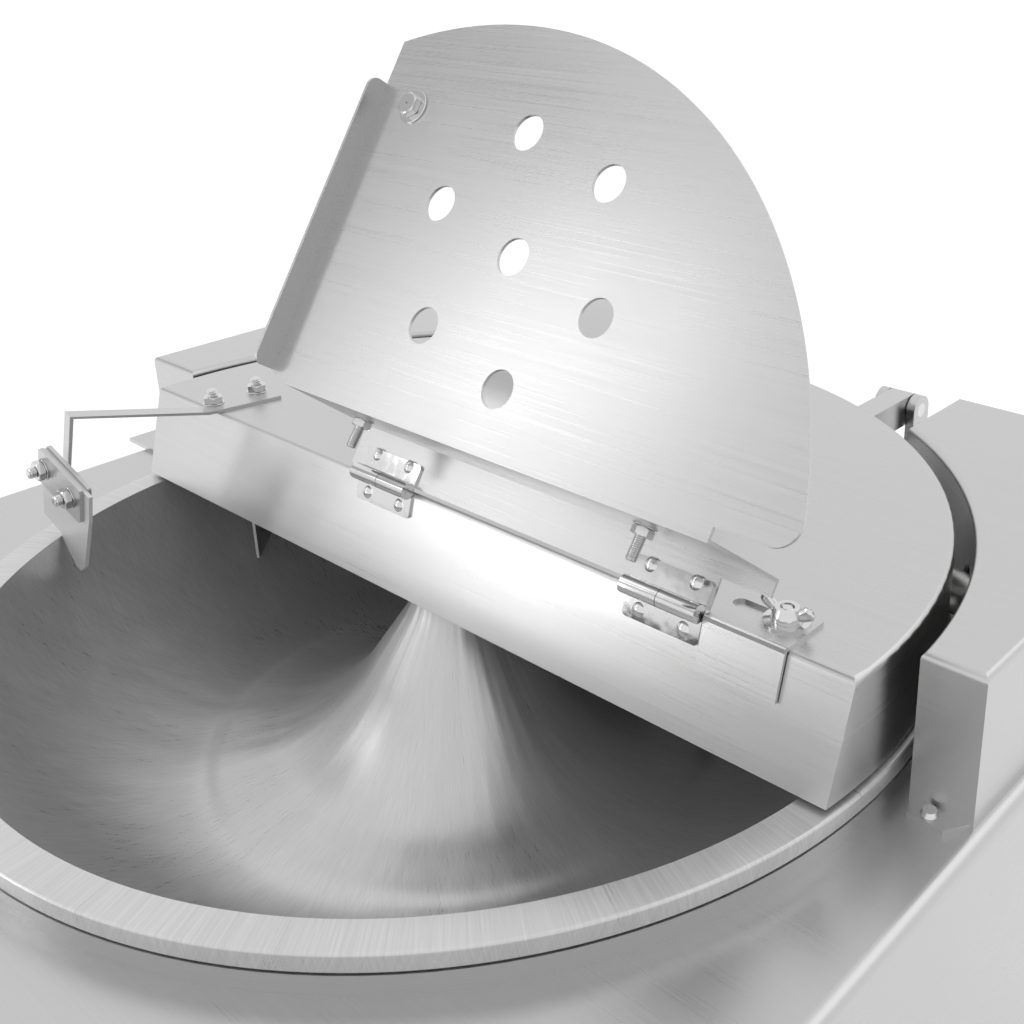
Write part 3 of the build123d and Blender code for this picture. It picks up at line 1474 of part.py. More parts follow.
inner_tip_r, inner_tip_z = trough_point(trough_r - inner_tip_clear, inner_tip_angle)
inner_heading = math.radians(inner_turn)
inner_along = (math.cos(inner_heading), math.sin(inner_heading))
inner_plane = Plane(
    origin=at(-inner_tip_r, inner_tip_y, 0),
    x_dir=(inner_along[0], inner_along[1], 0),
    z_dir=(inner_along[1], -inner_along[0], 0),
)
inner_top = cover_top_z - cover_sheet
inner_heel_z = inner_tip_z + inner_length * math.tan(math.radians(inner_rise))
inner_flange_y = arm_fasteners_at[1][1]

with BuildPart() as inner_scraper:
    with BuildSketch(inner_plane):
        with BuildLine():
            Polyline(
                (0, inner_top),
                (0, inner_tip_z),
                (inner_length, inner_heel_z),
                (inner_length, inner_heel_z + inner_length),
                (inner_length - inner_flange_width, inner_top),
                close=True,
            )
        make_face()
    extrude(amount=inner_flange_sheet)
    with BuildSketch(level(inner_top, 0, inner_flange_y)):
        with BuildLine():
            Polyline(
                (-inner_tip_r, inner_tip_y - inner_flange_y),
                (arm_fasteners_at[1][0] + 2 * bolt_nut_r, inner_tip_y - inner_flange_y),
                (arm_fasteners_at[1][0] + 2 * bolt_nut_r, inner_flange_width / 2),
                (-inner_tip_r, inner_flange_width / 2),
                close=True,
            )
        make_face()
        with Locations((arm_fasteners_at[1][0], 0)):
            Circle(bolt_r + seat, mode=Mode.SUBTRACT)
    extrude(amount=-inner_flange_sheet)
inner_scraper.part.label = "inner_scraper"
export_step(inner_scraper.part, "parts/inner_scraper.step")


# ---------------------------------------------------------------- housings

housing_height = cover_top_z - deck_z
left_arc_front = -math.sqrt(wall_r**2 - housing_left_front**2)
left_arc_back = math.sqrt(wall_r**2 - housing_left_inner**2)
right_arc_front = math.sqrt(wall_r**2 - housing_front**2)
right_arc_back = math.sqrt(wall_r**2 - housing_right_inner**2)
wall_hole_r = shaft_slot_width / 2 - 1
foot_screw_r = 3.5

with BuildPart() as right_housing:
    with BuildSketch(level(deck_z)) as right_outline:
        with BuildLine():
            Polyline(
                (right_arc_front, housing_front),
                (housing_right, housing_front),
                (housing_right, housing_back),
                (housing_right_inner, housing_back),
                (housing_right_inner, right_arc_back),
            )
            ThreePointArc(
                (housing_right_inner, right_arc_back),
                polar(wall_r, 30),
                (right_arc_front, housing_front),
            )
        make_face()
    extrude(amount=housing_height)
    fillet(right_housing.faces().sort_by(Axis.Z)[-1].edges(), housing_edge_r)
    with BuildSketch(level(deck_z)):
        add(right_outline.sketch_local)
        offset(amount=-housing_sheet, kind=Kind.INTERSECTION, mode=Mode.REPLACE)
    extrude(amount=housing_height - housing_sheet, mode=Mode.SUBTRACT)
    with BuildSketch(knife_plane(housing_right_inner)):
        Circle(wall_hole_r)
    extrude(amount=pedestal_start + 6 - housing_right_inner, mode=Mode.SUBTRACT)
    with BuildSketch(level(deck_z)):
        with BuildLine():
            Polyline(
                (housing_right - 25.7, housing_front + 1),
                (housing_right - 22.8, housing_front - 8.5),
                (housing_right - 7.3, housing_front - foot_flange),
                (housing_right - 0.6, housing_front + 1),
                close=True,
            )
        make_face()
    extrude(amount=foot_flange_sheet)
right_housing.part.label = "right_housing"
export_step(right_housing.part, "parts/right_housing.step")

with BuildPart() as left_housing:
    with BuildSketch(level(deck_z)) as left_outline:
        with BuildLine():
            Polyline(
                (left_arc_front, housing_left_front),
                (housing_left, housing_left_front),
                (housing_left, housing_back),
                (housing_left_inner, housing_back),
                (housing_left_inner, left_arc_back),
            )
            ThreePointArc(
                (housing_left_inner, left_arc_back),
                polar(wall_r, 135),
                (left_arc_front, housing_left_front),
            )
        make_face()
    extrude(amount=housing_height)
    fillet(left_housing.faces().sort_by(Axis.Z)[-1].edges(), housing_edge_r)
    with BuildSketch(level(deck_z)):
        add(left_outline.sketch_local)
        offset(amount=-housing_sheet, kind=Kind.INTERSECTION, mode=Mode.REPLACE)
    extrude(amount=housing_height - housing_sheet, mode=Mode.SUBTRACT)
    with BuildSketch(level(deck_z)):
        with Locations(((left_flange_tip + housing_left + 1) / 2, 7 + left_flange_length / 2)):
            Rectangle(housing_left + 1 - left_flange_tip, left_flange_length)
    extrude(amount=foot_flange_sheet)
left_housing.part.label = "left_housing"
export_step(left_housing.part, "parts/left_housing.step")

with BuildPart() as housing_screws:
    with BuildSketch(level(deck_z + foot_flange_sheet)):
        with Locations((housing_right - 15.5, housing_front - 4.2), (housing_left - 12, 38)):
            Circle(foot_screw_r)
    extrude(amount=2, taper=20)
housing_screws.part.label = "housing_screws"
export_step(housing_screws.part, "parts/housing_screws.step")


# ---------------------------------------------------------------- controls and inlet

front_face_y = -body_half_depth
button_depth = 10.0

with BuildPart() as button_bezels:
    with BuildSketch(facing(front_face_y, z=button_z)):
        with Locations(*[(x, 0) for x in button_x]):
            Circle(bezel_r)
            Circle(button_r + loose, mode=Mode.SUBTRACT)
    extrude(amount=bezel_height)
    chamfer(button_bezels.edges().sort_by(Axis.Y)[:2], 1)
button_bezels.part.label = "button_bezels"
export_step(button_bezels.part, "parts/button_bezels.step")

with BuildPart() as start_button:
    with BuildSketch(facing(front_face_y - bezel_height - button_proud, button_x[0], button_z)):
        Circle(button_r)
    extrude(amount=-bezel_height - button_proud - button_depth)
    fillet(start_button.edges().sort_by(Axis.Y)[0], 1.5)
start_button.part.label = "start_button"
export_step(start_button.part, "parts/start_button.step")

with BuildPart() as stop_button:
    with BuildSketch(facing(front_face_y - bezel_height - button_proud, button_x[1], button_z)):
        Circle(button_r)
    extrude(amount=-bezel_height - button_proud - button_depth)
    fillet(stop_button.edges().sort_by(Axis.Y)[0], 1.5)
stop_button.part.label = "stop_button"
export_step(stop_button.part, "parts/stop_button.step")

box_x = (button_x[0] + button_x[1]) / 2
box_depth = 45.0
with BuildPart() as control_box:
    with BuildSketch(facing(front_face_y + sheet, box_x, button_z)):
        RectangleRounded(button_x[1] - button_x[0] + 4 * button_r, 5 * button_r, 4)
    extrude(amount=-box_depth)
    with BuildSketch(facing(front_face_y + sheet, z=button_z)):
        with Locations(*[(x, 0) for x in button_x]):
            Circle(button_r + loose)
    extrude(amount=-button_depth - button_travel, mode=Mode.SUBTRACT)
control_box.part.label = "control_box"
export_step(control_box.part, "parts/control_box.step")

with BuildPart() as cable_gland:
    with BuildSketch(facing(body_half_depth, gland_x, gland_z)):
        RegularPolygon(1.25 * gland_r, 6)
    extrude(amount=-gland_reach / 2)
    with BuildSketch(facing(body_half_depth, gland_x, gland_z)):
        Circle(gland_r)
    extrude(amount=-gland_reach)
    fillet(cable_gland.edges().sort_by(Axis.Y)[-1], 3)
    with BuildSketch(facing(body_half_depth - sheet - 6, gland_x, gland_z)):
        Circle(gland_r - 1)
    extrude(amount=-sheet - 6)
    with BuildSketch(facing(body_half_depth - sheet - 6, gland_x, gland_z)):
        Circle(gland_r / 2)
    extrude(amount=-sheet - 6 - gland_reach, mode=Mode.SUBTRACT)
cable_gland.part.label = "cable_gland"
export_step(cable_gland.part, "parts/cable_gland.step")
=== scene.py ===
"""Dresses the table-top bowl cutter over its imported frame: finishes, turned bowl, fasteners and studio."""

from __future__ import annotations

import json
import logging
import math
from dataclasses import dataclass
from enum import Enum
from typing import Any, Mapping, Sequence

import bmesh
import bpy
import numpy as np
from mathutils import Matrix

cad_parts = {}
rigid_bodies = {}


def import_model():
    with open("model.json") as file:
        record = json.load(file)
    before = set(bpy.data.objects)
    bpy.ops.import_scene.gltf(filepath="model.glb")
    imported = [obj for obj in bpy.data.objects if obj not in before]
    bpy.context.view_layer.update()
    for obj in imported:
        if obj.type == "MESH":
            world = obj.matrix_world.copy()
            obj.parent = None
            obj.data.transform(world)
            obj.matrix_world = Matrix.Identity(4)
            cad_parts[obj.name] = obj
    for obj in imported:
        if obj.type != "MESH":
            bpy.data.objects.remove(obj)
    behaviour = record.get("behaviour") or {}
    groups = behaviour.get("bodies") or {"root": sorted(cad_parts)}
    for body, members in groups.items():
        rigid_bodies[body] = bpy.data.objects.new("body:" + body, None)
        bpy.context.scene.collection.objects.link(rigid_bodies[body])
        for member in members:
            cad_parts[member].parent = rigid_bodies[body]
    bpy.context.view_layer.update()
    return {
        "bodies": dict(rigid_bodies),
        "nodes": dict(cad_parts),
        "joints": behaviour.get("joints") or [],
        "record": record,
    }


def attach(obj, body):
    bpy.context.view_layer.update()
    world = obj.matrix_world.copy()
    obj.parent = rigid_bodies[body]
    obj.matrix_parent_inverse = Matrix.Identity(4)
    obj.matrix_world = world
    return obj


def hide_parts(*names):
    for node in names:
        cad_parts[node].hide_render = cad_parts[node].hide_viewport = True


log = logging.getLogger("bowl_cutter")
Colour = tuple[float, float, float]
Vec = tuple[float, float, float]

UP: Vec = (0.0, 0.0, 1.0)
FRONT: Vec = (0.0, -1.0, 0.0)
WHITE: Colour = (1.0, 1.0, 1.0)
BLACK: Colour = (0.0, 0.0, 0.0)

BOWL_X = 0.026  # bowl's axis
BOWL_Y = -0.0025
RIM_Z = 0.320  # top of the bowl's rim
TROUGH_R = 0.094  # radius of the trough's section
TROUGH_AXIS_R = 0.122  # its middle's distance from the bowl's axis
TROUGH_Z = 0.012  # and its height above the rim
RIVET_X = (-0.01225, 0.01025, 0.15625, 0.17875)  # hinge rivets, two to a leaf


# -------- shader expressions


class Sock:
    """A shader value that reads like a number: an expression on it adds its Math nodes."""

    def __init__(self, shade: "Shade", socket: bpy.types.NodeSocket) -> None:
        """Wraps one output socket of a node tree being built."""
        self.shade = shade
        self.socket = socket

    def math(self, operation: str, *others: Any, clamp: bool = False) -> "Sock":
        """Adds a Math node with this value as its first input.

        Args:
            operation: the Math node's operation.
            others: its further inputs, as numbers or values.
            clamp: whether the result is held between 0 and 1.
        Returns:
            The node's result.
        """
        inputs = dict(enumerate((self, *others)))
        return self.shade.node("ShaderNodeMath", {"operation": operation, "use_clamp": clamp}, inputs)[0]

    def __add__(self, other: Any) -> "Sock":
        """This value plus another."""
        return self.math("ADD", other)

    def __sub__(self, other: Any) -> "Sock":
        """This value less another."""
        return self.math("SUBTRACT", other)

    def __rsub__(self, other: float) -> "Sock":
        """A number less this value."""
        return self.shade.node("ShaderNodeMath", {"operation": "SUBTRACT"}, {0: other, 1: self})[0]

    def __mul__(self, other: Any) -> "Sock":
        """This value times another."""
        return self.math("MULTIPLY", other)

    __radd__, __rmul__ = __add__, __mul__

    def __abs__(self) -> "Sock":
        """This value without its sign."""
        return self.math("ABSOLUTE")

    def held(self) -> "Sock":
        """This value held between 0 and 1."""
        return self.math("ADD", 0.0, clamp=True)

    def ramp(self, low: float, high: float) -> "Sock":
        """Rises smoothly from 0 at low to 1 at high, and falls if low is the larger."""
        inputs = {"Value": self, "From Min": low, "From Max": high}
        return self.shade.node("ShaderNodeMapRange", {"interpolation_type": "SMOOTHSTEP"}, inputs)[0]


class Made:
    """A node just made, whose outputs are read by name or number."""

    def __init__(self, shade: "Shade", node: bpy.types.Node) -> None:
        """Keeps the node beside its tree."""
        self.shade = shade
        self.node = node

    def __getitem__(self, output: int | str) -> Sock:
        """The output of that name or number."""
        return Sock(self.shade, self.node.outputs[output])


class Shade:
    """One node tree under construction."""

    def __init__(self, tree: bpy.types.NodeTree) -> None:
        """Starts the tree afresh."""
        self.tree = tree
        self.tree.nodes.clear()

    def node(
        self,
        kind: str,
        settings: Mapping[str, Any] | None = None,
        inputs: Mapping[int | str, Any] | None = None,
    ) -> Made:
        """Adds a node.

        Args:
            kind: its type.
            settings: its properties, set before its sockets.
            inputs: the number, colour or value of each socket, by name or number.
        Returns:
            The node, whose outputs can be read.
        """
        node = self.tree.nodes.new(kind)
        for key, value in (settings or {}).items():
            setattr(node, key, value)
        for key, value in (inputs or {}).items():
            if isinstance(value, Sock):
                self.tree.links.new(value.socket, node.inputs[key])
            else:
                node.inputs[key].default_value = value
        return Made(self, node)

    def place(self) -> Sock:
        """The point on the piece, in metres in the row frame."""
        return self.node("ShaderNodeTexCoord")["Object"]

    def moved(self, location: Vec = (0.0, 0.0, 0.0), scale: Vec = (1.0, 1.0, 1.0)) -> Sock:
        """The point on the piece, with each of its numbers scaled, less a location."""
        inputs = {"Vector": self.place(), "Location": [-c for c in location], "Scale": scale}
        return self.node("ShaderNodeMapping", {"vector_type": "POINT"}, inputs)[0]

    def parts(self, vector: Sock) -> tuple[Sock, Sock, Sock]:
        """The three numbers of a vector."""
        split = self.node("ShaderNodeSeparateXYZ", None, {0: vector})
        return split[0], split[1], split[2]

    def joined(self, x: Any, y: Any, z: Any = 0.0) -> Sock:
        """A vector of three numbers."""
        return self.node("ShaderNodeCombineXYZ", None, {0: x, 1: y, 2: z})[0]

    def noise(self, vector: Sock, scale: float, detail: float = 2.0, roughness: float = 0.5) -> Sock:
        """Smooth noise about 0.5 at a vector."""
        inputs = {"Vector": vector, "Scale": scale, "Detail": detail, "Roughness": roughness}
        return self.node("ShaderNodeTexNoise", None, inputs)[0]

    @staticmethod
    def colour(value: Any) -> Any:
        """A colour with its alpha, or the value that already is one."""
        return value if isinstance(value, Sock) else (*value, 1.0)

    def mix(self, factor: Any, low: Any, high: Any) -> Sock:
        """A colour between two."""
        inputs = {0: factor, 6: self.colour(low), 7: self.colour(high)}
        return self.node("ShaderNodeMix", {"data_type": "RGBA"}, inputs)[2]

    def toned(self, factor: Sock, colour: Colour, dark: float) -> Sock:
        """A colour where a factor is 1, down to that colour times dark where it is 0."""
        return self.mix(factor, tuple(dark * c for c in colour), colour)

    def bump(self, height: Sock, depth: float, **normal: Sock) -> Sock:
        """A Bump node's normal for a height, whose 1 is depth metres high, over Normal where it is given."""
        return self.node("ShaderNodeBump", None, {"Height": height, "Distance": depth, **normal})[0]


class Paint(Shade):
    """One material under construction."""

    def __init__(self, name: str) -> None:
        """Starts a material with one Principled shader.

        Args:
            name: the material's name.
        """
        self.material = bpy.data.materials.new(name)
        self.material.use_nodes = True
        super().__init__(self.material.node_tree)
        self.principled = self.node("ShaderNodeBsdfPrincipled").node
        output = self.node("ShaderNodeOutputMaterial").node
        self.tree.links.new(self.principled.outputs[0], output.inputs["Surface"])

    def set(self, **sockets: Any) -> bpy.types.Material:
        """Sets or links sockets of the Principled shader.

        Args:
            sockets: a number, colour or value for each socket, whose name has _ for a space.
        Returns:
            The material.
        """
        for key, value in sockets.items():
            socket = self.principled.inputs[key.replace("_", " ")]
            if isinstance(value, Sock):
                self.tree.links.new(value.socket, socket)
            else:
                socket.default_value = self.colour(value) if isinstance(value, tuple) else value
        return self.material


# -------- finishes


class Grain(Enum):
    """Which way the brushing of a sheet runs."""

    ACROSS = "x"  # along X on every face
    WRAPPED = "wrapped"  # along X on level faces, round the wall on upright ones
    DEPTH = "y"  # along Y


@dataclass(frozen=True)
class BrushedSheet:
    """Stainless sheet with straight fine brushing."""

    name: str
    grain: Grain = Grain.ACROSS
    colour: Colour = (0.60, 0.60, 0.60)
    metallic: float = 1.0
    roughness: float = 0.30
    streak_rough: float = 0.20  # how far a streak changes the roughness
    fine: float = 2600.0  # fine streaks to the metre
    coarse: float = 700.0
    fine_stretch: float = 0.004  # how much less the coordinate along the grain counts
    coarse_stretch: float = 0.012
    fine_tone: float = 0.6
    coarse_tone: float = 0.3
    fine_relief: float = 0.6  # the fine streaks' share in the relief; the coarse ones have the rest
    depth: float = 0.00002
    contrast: float = 1.4
    dark: float = 0.86  # tone of the darkest streak
    smears: float = 9.0  # faint smears to the metre
    smear_tone: float = 0.3
    smear_rough: float = 0.10
    level: float = 0.75  # a face whose normal has more of Z than this is level
    upright: float = 0.55  # and one with less than this is upright

    def streaks(self, shade: Shade, scale: float, stretch: float) -> Sock:
        """Noise drawn out along the grain: one coordinate is shrunk until it hardly counts.

        Args:
            shade: the material being built.
            scale: streaks to the metre, across the grain.
            stretch: how much less the coordinate along the grain counts.
        Returns:
            The streaks, about 0.5.
        """
        detail = 3.0
        x, y, z = shade.parts(shade.place())
        if self.grain is Grain.DEPTH:
            return shade.noise(shade.joined(x, y * stretch, z), scale, detail)
        if self.grain is Grain.ACROSS:
            return shade.noise(shade.joined(x * stretch, y, z), scale, detail)
        facing = shade.parts(shade.node("ShaderNodeTexCoord")["Normal"])
        upright = abs(facing[2]).ramp(self.level, self.upright)
        level = shade.noise(shade.joined(x * stretch, y), scale, detail)
        wall = shade.noise(shade.joined((x + y) * stretch, z), scale, detail)
        return level + (wall - level) * upright

    def paint(self) -> bpy.types.Material:
        """Builds the material: fine and coarse streaks, faint smears, and a shallow bump.

        Returns:
            The material.
        """
        shade = Paint(self.name)
        fine = self.streaks(shade, self.fine, self.fine_stretch)
        coarse = self.streaks(shade, self.coarse, self.coarse_stretch)
        smear = shade.noise(shade.place(), self.smears, 3.0, 0.6) - 0.5
        tone = (fine - 0.5) * self.fine_tone + (coarse - 0.5) * self.coarse_tone
        rough = self.roughness + tone * self.streak_rough + smear * self.smear_rough
        pale = (tone * self.contrast + 0.5 + smear * self.smear_tone).held()
        base = shade.toned(pale, self.colour, self.dark)
        relief = fine * self.fine_relief + coarse * (1 - self.fine_relief)
        normal = shade.bump(relief, self.depth)
        return shade.set(Base_Color=base, Metallic=self.metallic, Roughness=rough, Normal=normal)


@dataclass(frozen=True)
class Strokes:
    """One set of short ground lines on the bowl."""

    slant: float  # how far a line drifts sideways for its length
    fine: float  # lines to the metre
    tone: float  # its share in the tone
    relief: float  # its share in the relief
    stretch: float = 0.035  # how much less the coordinate along the lines counts

    def lines(self, shade: Shade, round_axis: Sock, down: Sock) -> Sock:
        """Noise drawn out along the slanted lines.

        Args:
            shade: the material being built.
            round_axis: distance round the axis, in metres.
            down: distance down the trough's section, in metres.
        Returns:
            The lines, about 0.5.
        """
        across = (round_axis + down * self.slant) * self.fine
        along = (down - round_axis * self.slant) * (self.stretch * self.fine)
        return shade.noise(shade.joined(across, along, self.slant), 1.0, 2.0, 0.6)


@dataclass(frozen=True)
class GroundBowl:
    """Stainless bowl ground by hand from rim to cone, with the wear of use and soft beams of painted sheen
    round the axis.
    """

    name: str
    colour: Colour = (0.74, 0.74, 0.74)
    roughness: float = 0.33
    metallic: float = 0.6
    turn_length: float = 0.15  # a radian round the axis, as a length at the trough's outer side
    first: Strokes = Strokes(0.12, 1900.0, 1.0, 0.5)
    second: Strokes = Strokes(-0.35, 1300.0, 0.8, 0.5)
    scratch: Strokes = Strokes(0.6, 420.0, 0.14, 0.3)
    scratch_from: float = 0.60  # the scratches are the peaks of their noise between these values
    scratch_to: float = 0.78
    relief: float = 0.00004
    sheen_beams_round: float = 3.2  # soft beams of painted sheen to a radian round the axis
    sheen_beams_down: float = 5.0  # and to a metre down the section
    # how far the beams lighten and darken the colour: painted sheen in sectors round the axis, standing in
    # for the ground steel's reflections
    painted_sheen_tone: float = 0.6
    sheen_beam_depth: float = 0.0012
    smears: float = 11.0  # to the metre
    smear_tone: float = 0.5
    smear_rough: float = 0.14
    tone_rough: float = 0.16
    contrast: float = 1.1
    paleness: float = 0.6  # where the tone lies between dark and full colour on average
    dark: float = 0.74

    def paint(self) -> bpy.types.Material:
        """Builds the material: lines from rim to cone, crossing scratches, soft beams of painted sheen and
        smears.

        A point is told by its distance round the axis and by its angle round the trough's middle, so that the
        lines keep their pitch on the steep walls and on the cone.

        Returns:
            The material.
        """
        shade = Paint(self.name)
        x, y, z = shade.parts(shade.moved((BOWL_X, BOWL_Y, RIM_Z)))
        radius = (x * x + y * y).math("SQRT")
        turn = y.math("ARCTAN2", x)
        round_axis = turn * self.turn_length
        down = (z - TROUGH_Z).math("ARCTAN2", radius - TROUGH_AXIS_R) * TROUGH_R
        first = self.first.lines(shade, round_axis, down)
        second = self.second.lines(shade, round_axis, down)
        scratch = self.scratch.lines(shade, round_axis, down).ramp(self.scratch_from, self.scratch_to)
        # painted sheen: soft beams round the axis that lighten and darken the colour as the ground steel's
        # reflections would; they also bump the surface
        sheen_beams = shade.noise(shade.joined(turn * self.sheen_beams_round, down * self.sheen_beams_down), 1.0)
        smear = shade.noise(shade.place(), self.smears, 4.0, 0.6) - 0.5
        lines = (first - 0.5) * self.first.tone + (second - 0.5) * self.second.tone
        tone = lines + scratch * self.scratch.tone + (sheen_beams - 0.5) * self.painted_sheen_tone
        rough = self.roughness + tone * self.tone_rough + smear * self.smear_rough
        pale = (tone * self.contrast + self.paleness + smear * self.smear_tone).held()
        relief = first * self.first.relief + second * self.second.relief + scratch * self.scratch.relief
        normal = shade.bump(sheen_beams, self.sheen_beam_depth, Normal=shade.bump(relief, self.relief))
        base = shade.toned(pale, self.colour, self.dark)
        return shade.set(Base_Color=base, Metallic=self.metallic, Roughness=rough, Normal=normal)


@dataclass(frozen=True)
class Polished:
    """Bright polished steel with a little wave and a few fine marks."""

    name: str
    colour: Colour = (0.72, 0.72, 0.72)
    roughness: float = 0.06
    waves: float = 60.0  # to the metre
    wave_depth: float = 0.00009
    smears: float = 220.0
    smear_rough: float = 0.10
    dark: float = 0.9

    def paint(self) -> bpy.types.Material:
        """Builds the material: a low wave in the surface and faint smears.

        Returns:
            The material.
        """
        shade = Paint(self.name)
        wave = shade.noise(shade.place(), self.waves)
        smear = shade.noise(shade.place(), self.smears, 4.0, 0.7)
        rough = self.roughness + smear.ramp(0.5, 0.8) * self.smear_rough
        base = shade.toned(smear, self.colour, self.dark)
        normal = shade.bump(wave, self.wave_depth)
        return shade.set(Base_Color=base, Metallic=1.0, Roughness=rough, Normal=normal)


@dataclass(frozen=True)
class Grained:
    """Moulded, machined or cast stuff: a fine grain, and patches that change its tone and sheen."""

    name: str
    colour: Colour
    roughness: float
    grain: float = 1400.0  # grains to the metre
    depth: float = 0.00006
    metallic: float = 0.0
    grain_detail: float = 2.0
    grain_harsh: float = 0.6
    grain_rough: float = 0.0  # how far the grain changes the roughness
    stretch: float = 1.0  # how much Y and Z count; tool marks run along them
    patches: float = 40.0  # to the metre
    patch_detail: float = 4.0
    patch_harsh: float = 0.6
    patch_rough: float = 0.2
    patch_relief: float = 0.0  # the patches' share in the relief
    dark: float = 0.82  # tone of the darkest patch

    def paint(self) -> bpy.types.Material:
        """Builds the material.

        Returns:
            The material.
        """
        shade = Paint(self.name)
        point = shade.moved(scale=(1.0, self.stretch, self.stretch))
        grain = shade.noise(point, self.grain, self.grain_detail, self.grain_harsh)
        patch = shade.noise(shade.place(), self.patches, self.patch_detail, self.patch_harsh)
        rough = self.roughness + (grain - 0.5) * self.grain_rough + (patch - 0.5) * self.patch_rough
        base = shade.toned(patch, self.colour, self.dark)
        relief = grain * (1 - self.patch_relief) + patch * self.patch_relief
        normal = shade.bump(relief, self.depth)
        return shade.set(Base_Color=base, Metallic=self.metallic, Roughness=rough, Normal=normal)


def machined(name: str, colour: Colour, roughness: float, marks: float, depth: float) -> Grained:
    """Turned or milled steel with fine tool marks, of which there are so many to the metre."""
    grain = {"grain_detail": 3.0, "grain_harsh": 0.5, "grain_rough": 0.2, "stretch": 0.05}
    return Grained(name, colour, roughness, marks, depth, 1.0, patches=70.0, dark=0.72, **grain)


def cast(name: str, colour: Colour) -> Grained:
    """Sand-cast metal, left as it came from the mould, with a sandy skin in two sizes.

    Args:
        name: the finish's name.
        colour: its colour.
    Returns:
        The finish.
    """
    grain = {"grain_detail": 3.0, "grain_harsh": 0.7, "grain_rough": 0.3, "dark": 0.8}
    patch = {"patches": 120.0, "patch_detail": 3.0, "patch_harsh": 0.5, "patch_rough": 0.0}
    return Grained(name, colour, 0.5, 900.0, 0.00025, 0.85, patch_relief=0.3, **grain, **patch)


class Finishes:
    """Every finish of the machine, painted once and shared."""

    def __init__(self) -> None:
        """Builds the materials."""
        self.deck = BrushedSheet("deck_sheet", Grain.WRAPPED).paint()
        self.cover = BrushedSheet("cover_sheet", Grain.WRAPPED).paint()
        self.flap = BrushedSheet("flap_sheet", Grain.ACROSS, streak_rough=0.24).paint()
        self.blade = BrushedSheet("blade_sheet", Grain.DEPTH, (0.80, 0.80, 0.80), metallic=0.35).paint()
        self.bowl = GroundBowl("ground_bowl").paint()
        self.hinge = Polished("polished_steel").paint()
        self.bright = Polished("bright_steel", (0.74, 0.74, 0.74), 0.12).paint()
        self.fastener = Polished("fastener_steel", (0.70, 0.70, 0.70), 0.15).paint()
        self.dull = machined("machined_steel", (0.50, 0.50, 0.49), 0.34, 900.0, 0.00003).paint()
        self.knife = machined("knife_steel", (0.66, 0.66, 0.66), 0.20, 1200.0, 0.00001).paint()
        self.cast = cast("cast_aluminium", (0.46, 0.46, 0.47)).paint()
        self.motor = Grained("motor_enamel", (0.05, 0.09, 0.14), 0.35, 500.0).paint()
        self.rubber = Grained("black_rubber", (0.025, 0.025, 0.025), 0.7).paint()
        self.belt = Grained("belt_rubber", (0.03, 0.03, 0.032), 0.6, 700.0, 0.0002).paint()
        self.plastic = Grained("black_plastic", (0.03, 0.03, 0.032), 0.4).paint()
        self.green = Grained("green_plastic", (0.03, 0.32, 0.07), 0.3).paint()
        self.red = Grained("red_plastic", (0.55, 0.02, 0.02), 0.3).paint()


# -------- meshes


def wound(steps: int) -> np.ndarray:
    """Turns of a whole round."""
    return np.arange(steps) * (2 * math.pi / steps)


def gridded(name: str, grid: np.ndarray) -> bpy.types.Mesh:
    """A mesh of quads over a grid of points, whose last row and column join the first.

    Args:
        name: the mesh's name.
        grid: points, by row and column.
    Returns:
        The mesh.
    """
    rows, columns = grid.shape[:2]
    u, v = np.arange(rows)[:, None], np.arange(columns)[None, :]
    after_u, after_v = (u + 1) % rows, (v + 1) % columns
    corners = (u * columns + v, after_u * columns + v, after_u * columns + after_v, u * columns + after_v)
    quads = np.stack([corner.ravel() for corner in corners], axis=1)
    mesh = bpy.data.meshes.new(name)
    mesh.from_pydata(grid.reshape(-1, 3).tolist(), [], quads.tolist())
    return mesh


def smooth_by_angle(mesh: bpy.types.Mesh, degrees: float) -> None:
    """Smooths a mesh, with sharp edges where faces meet at more than an angle."""
    mesh.polygons.foreach_set("use_smooth", np.ones(len(mesh.polygons), dtype=bool))
    mesh.set_sharp_from_angle(angle=math.radians(degrees))


def linked(name: str, data: bpy.types.ID) -> bpy.types.Object:
    """Makes an object and puts it in the scene.

    Args:
        name: its name.
        data: its mesh, lamp or camera.
    Returns:
        The object.
    """
    made = bpy.data.objects.new(name, data)
    bpy.context.scene.collection.objects.link(made)
    return made


def placed(mesh: bpy.types.Mesh, material: bpy.types.Material, body: str, node: str) -> None:
    """Makes a piece of a mesh, gives it its finish and lets it ride on a body in a CAD node's place.

    Args:
        mesh: its mesh, in the row frame.
        material: its finish.
        body: the body that it moves with.
        node: the node that it replaces.
    """
    mesh.materials.append(material)
    piece = linked(mesh.name, mesh)
    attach(piece, body)
    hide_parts(node)
    log.info("%s: %d faces for %s, rides on %s", mesh.name, len(mesh.polygons), node, body)


# -------- fasteners


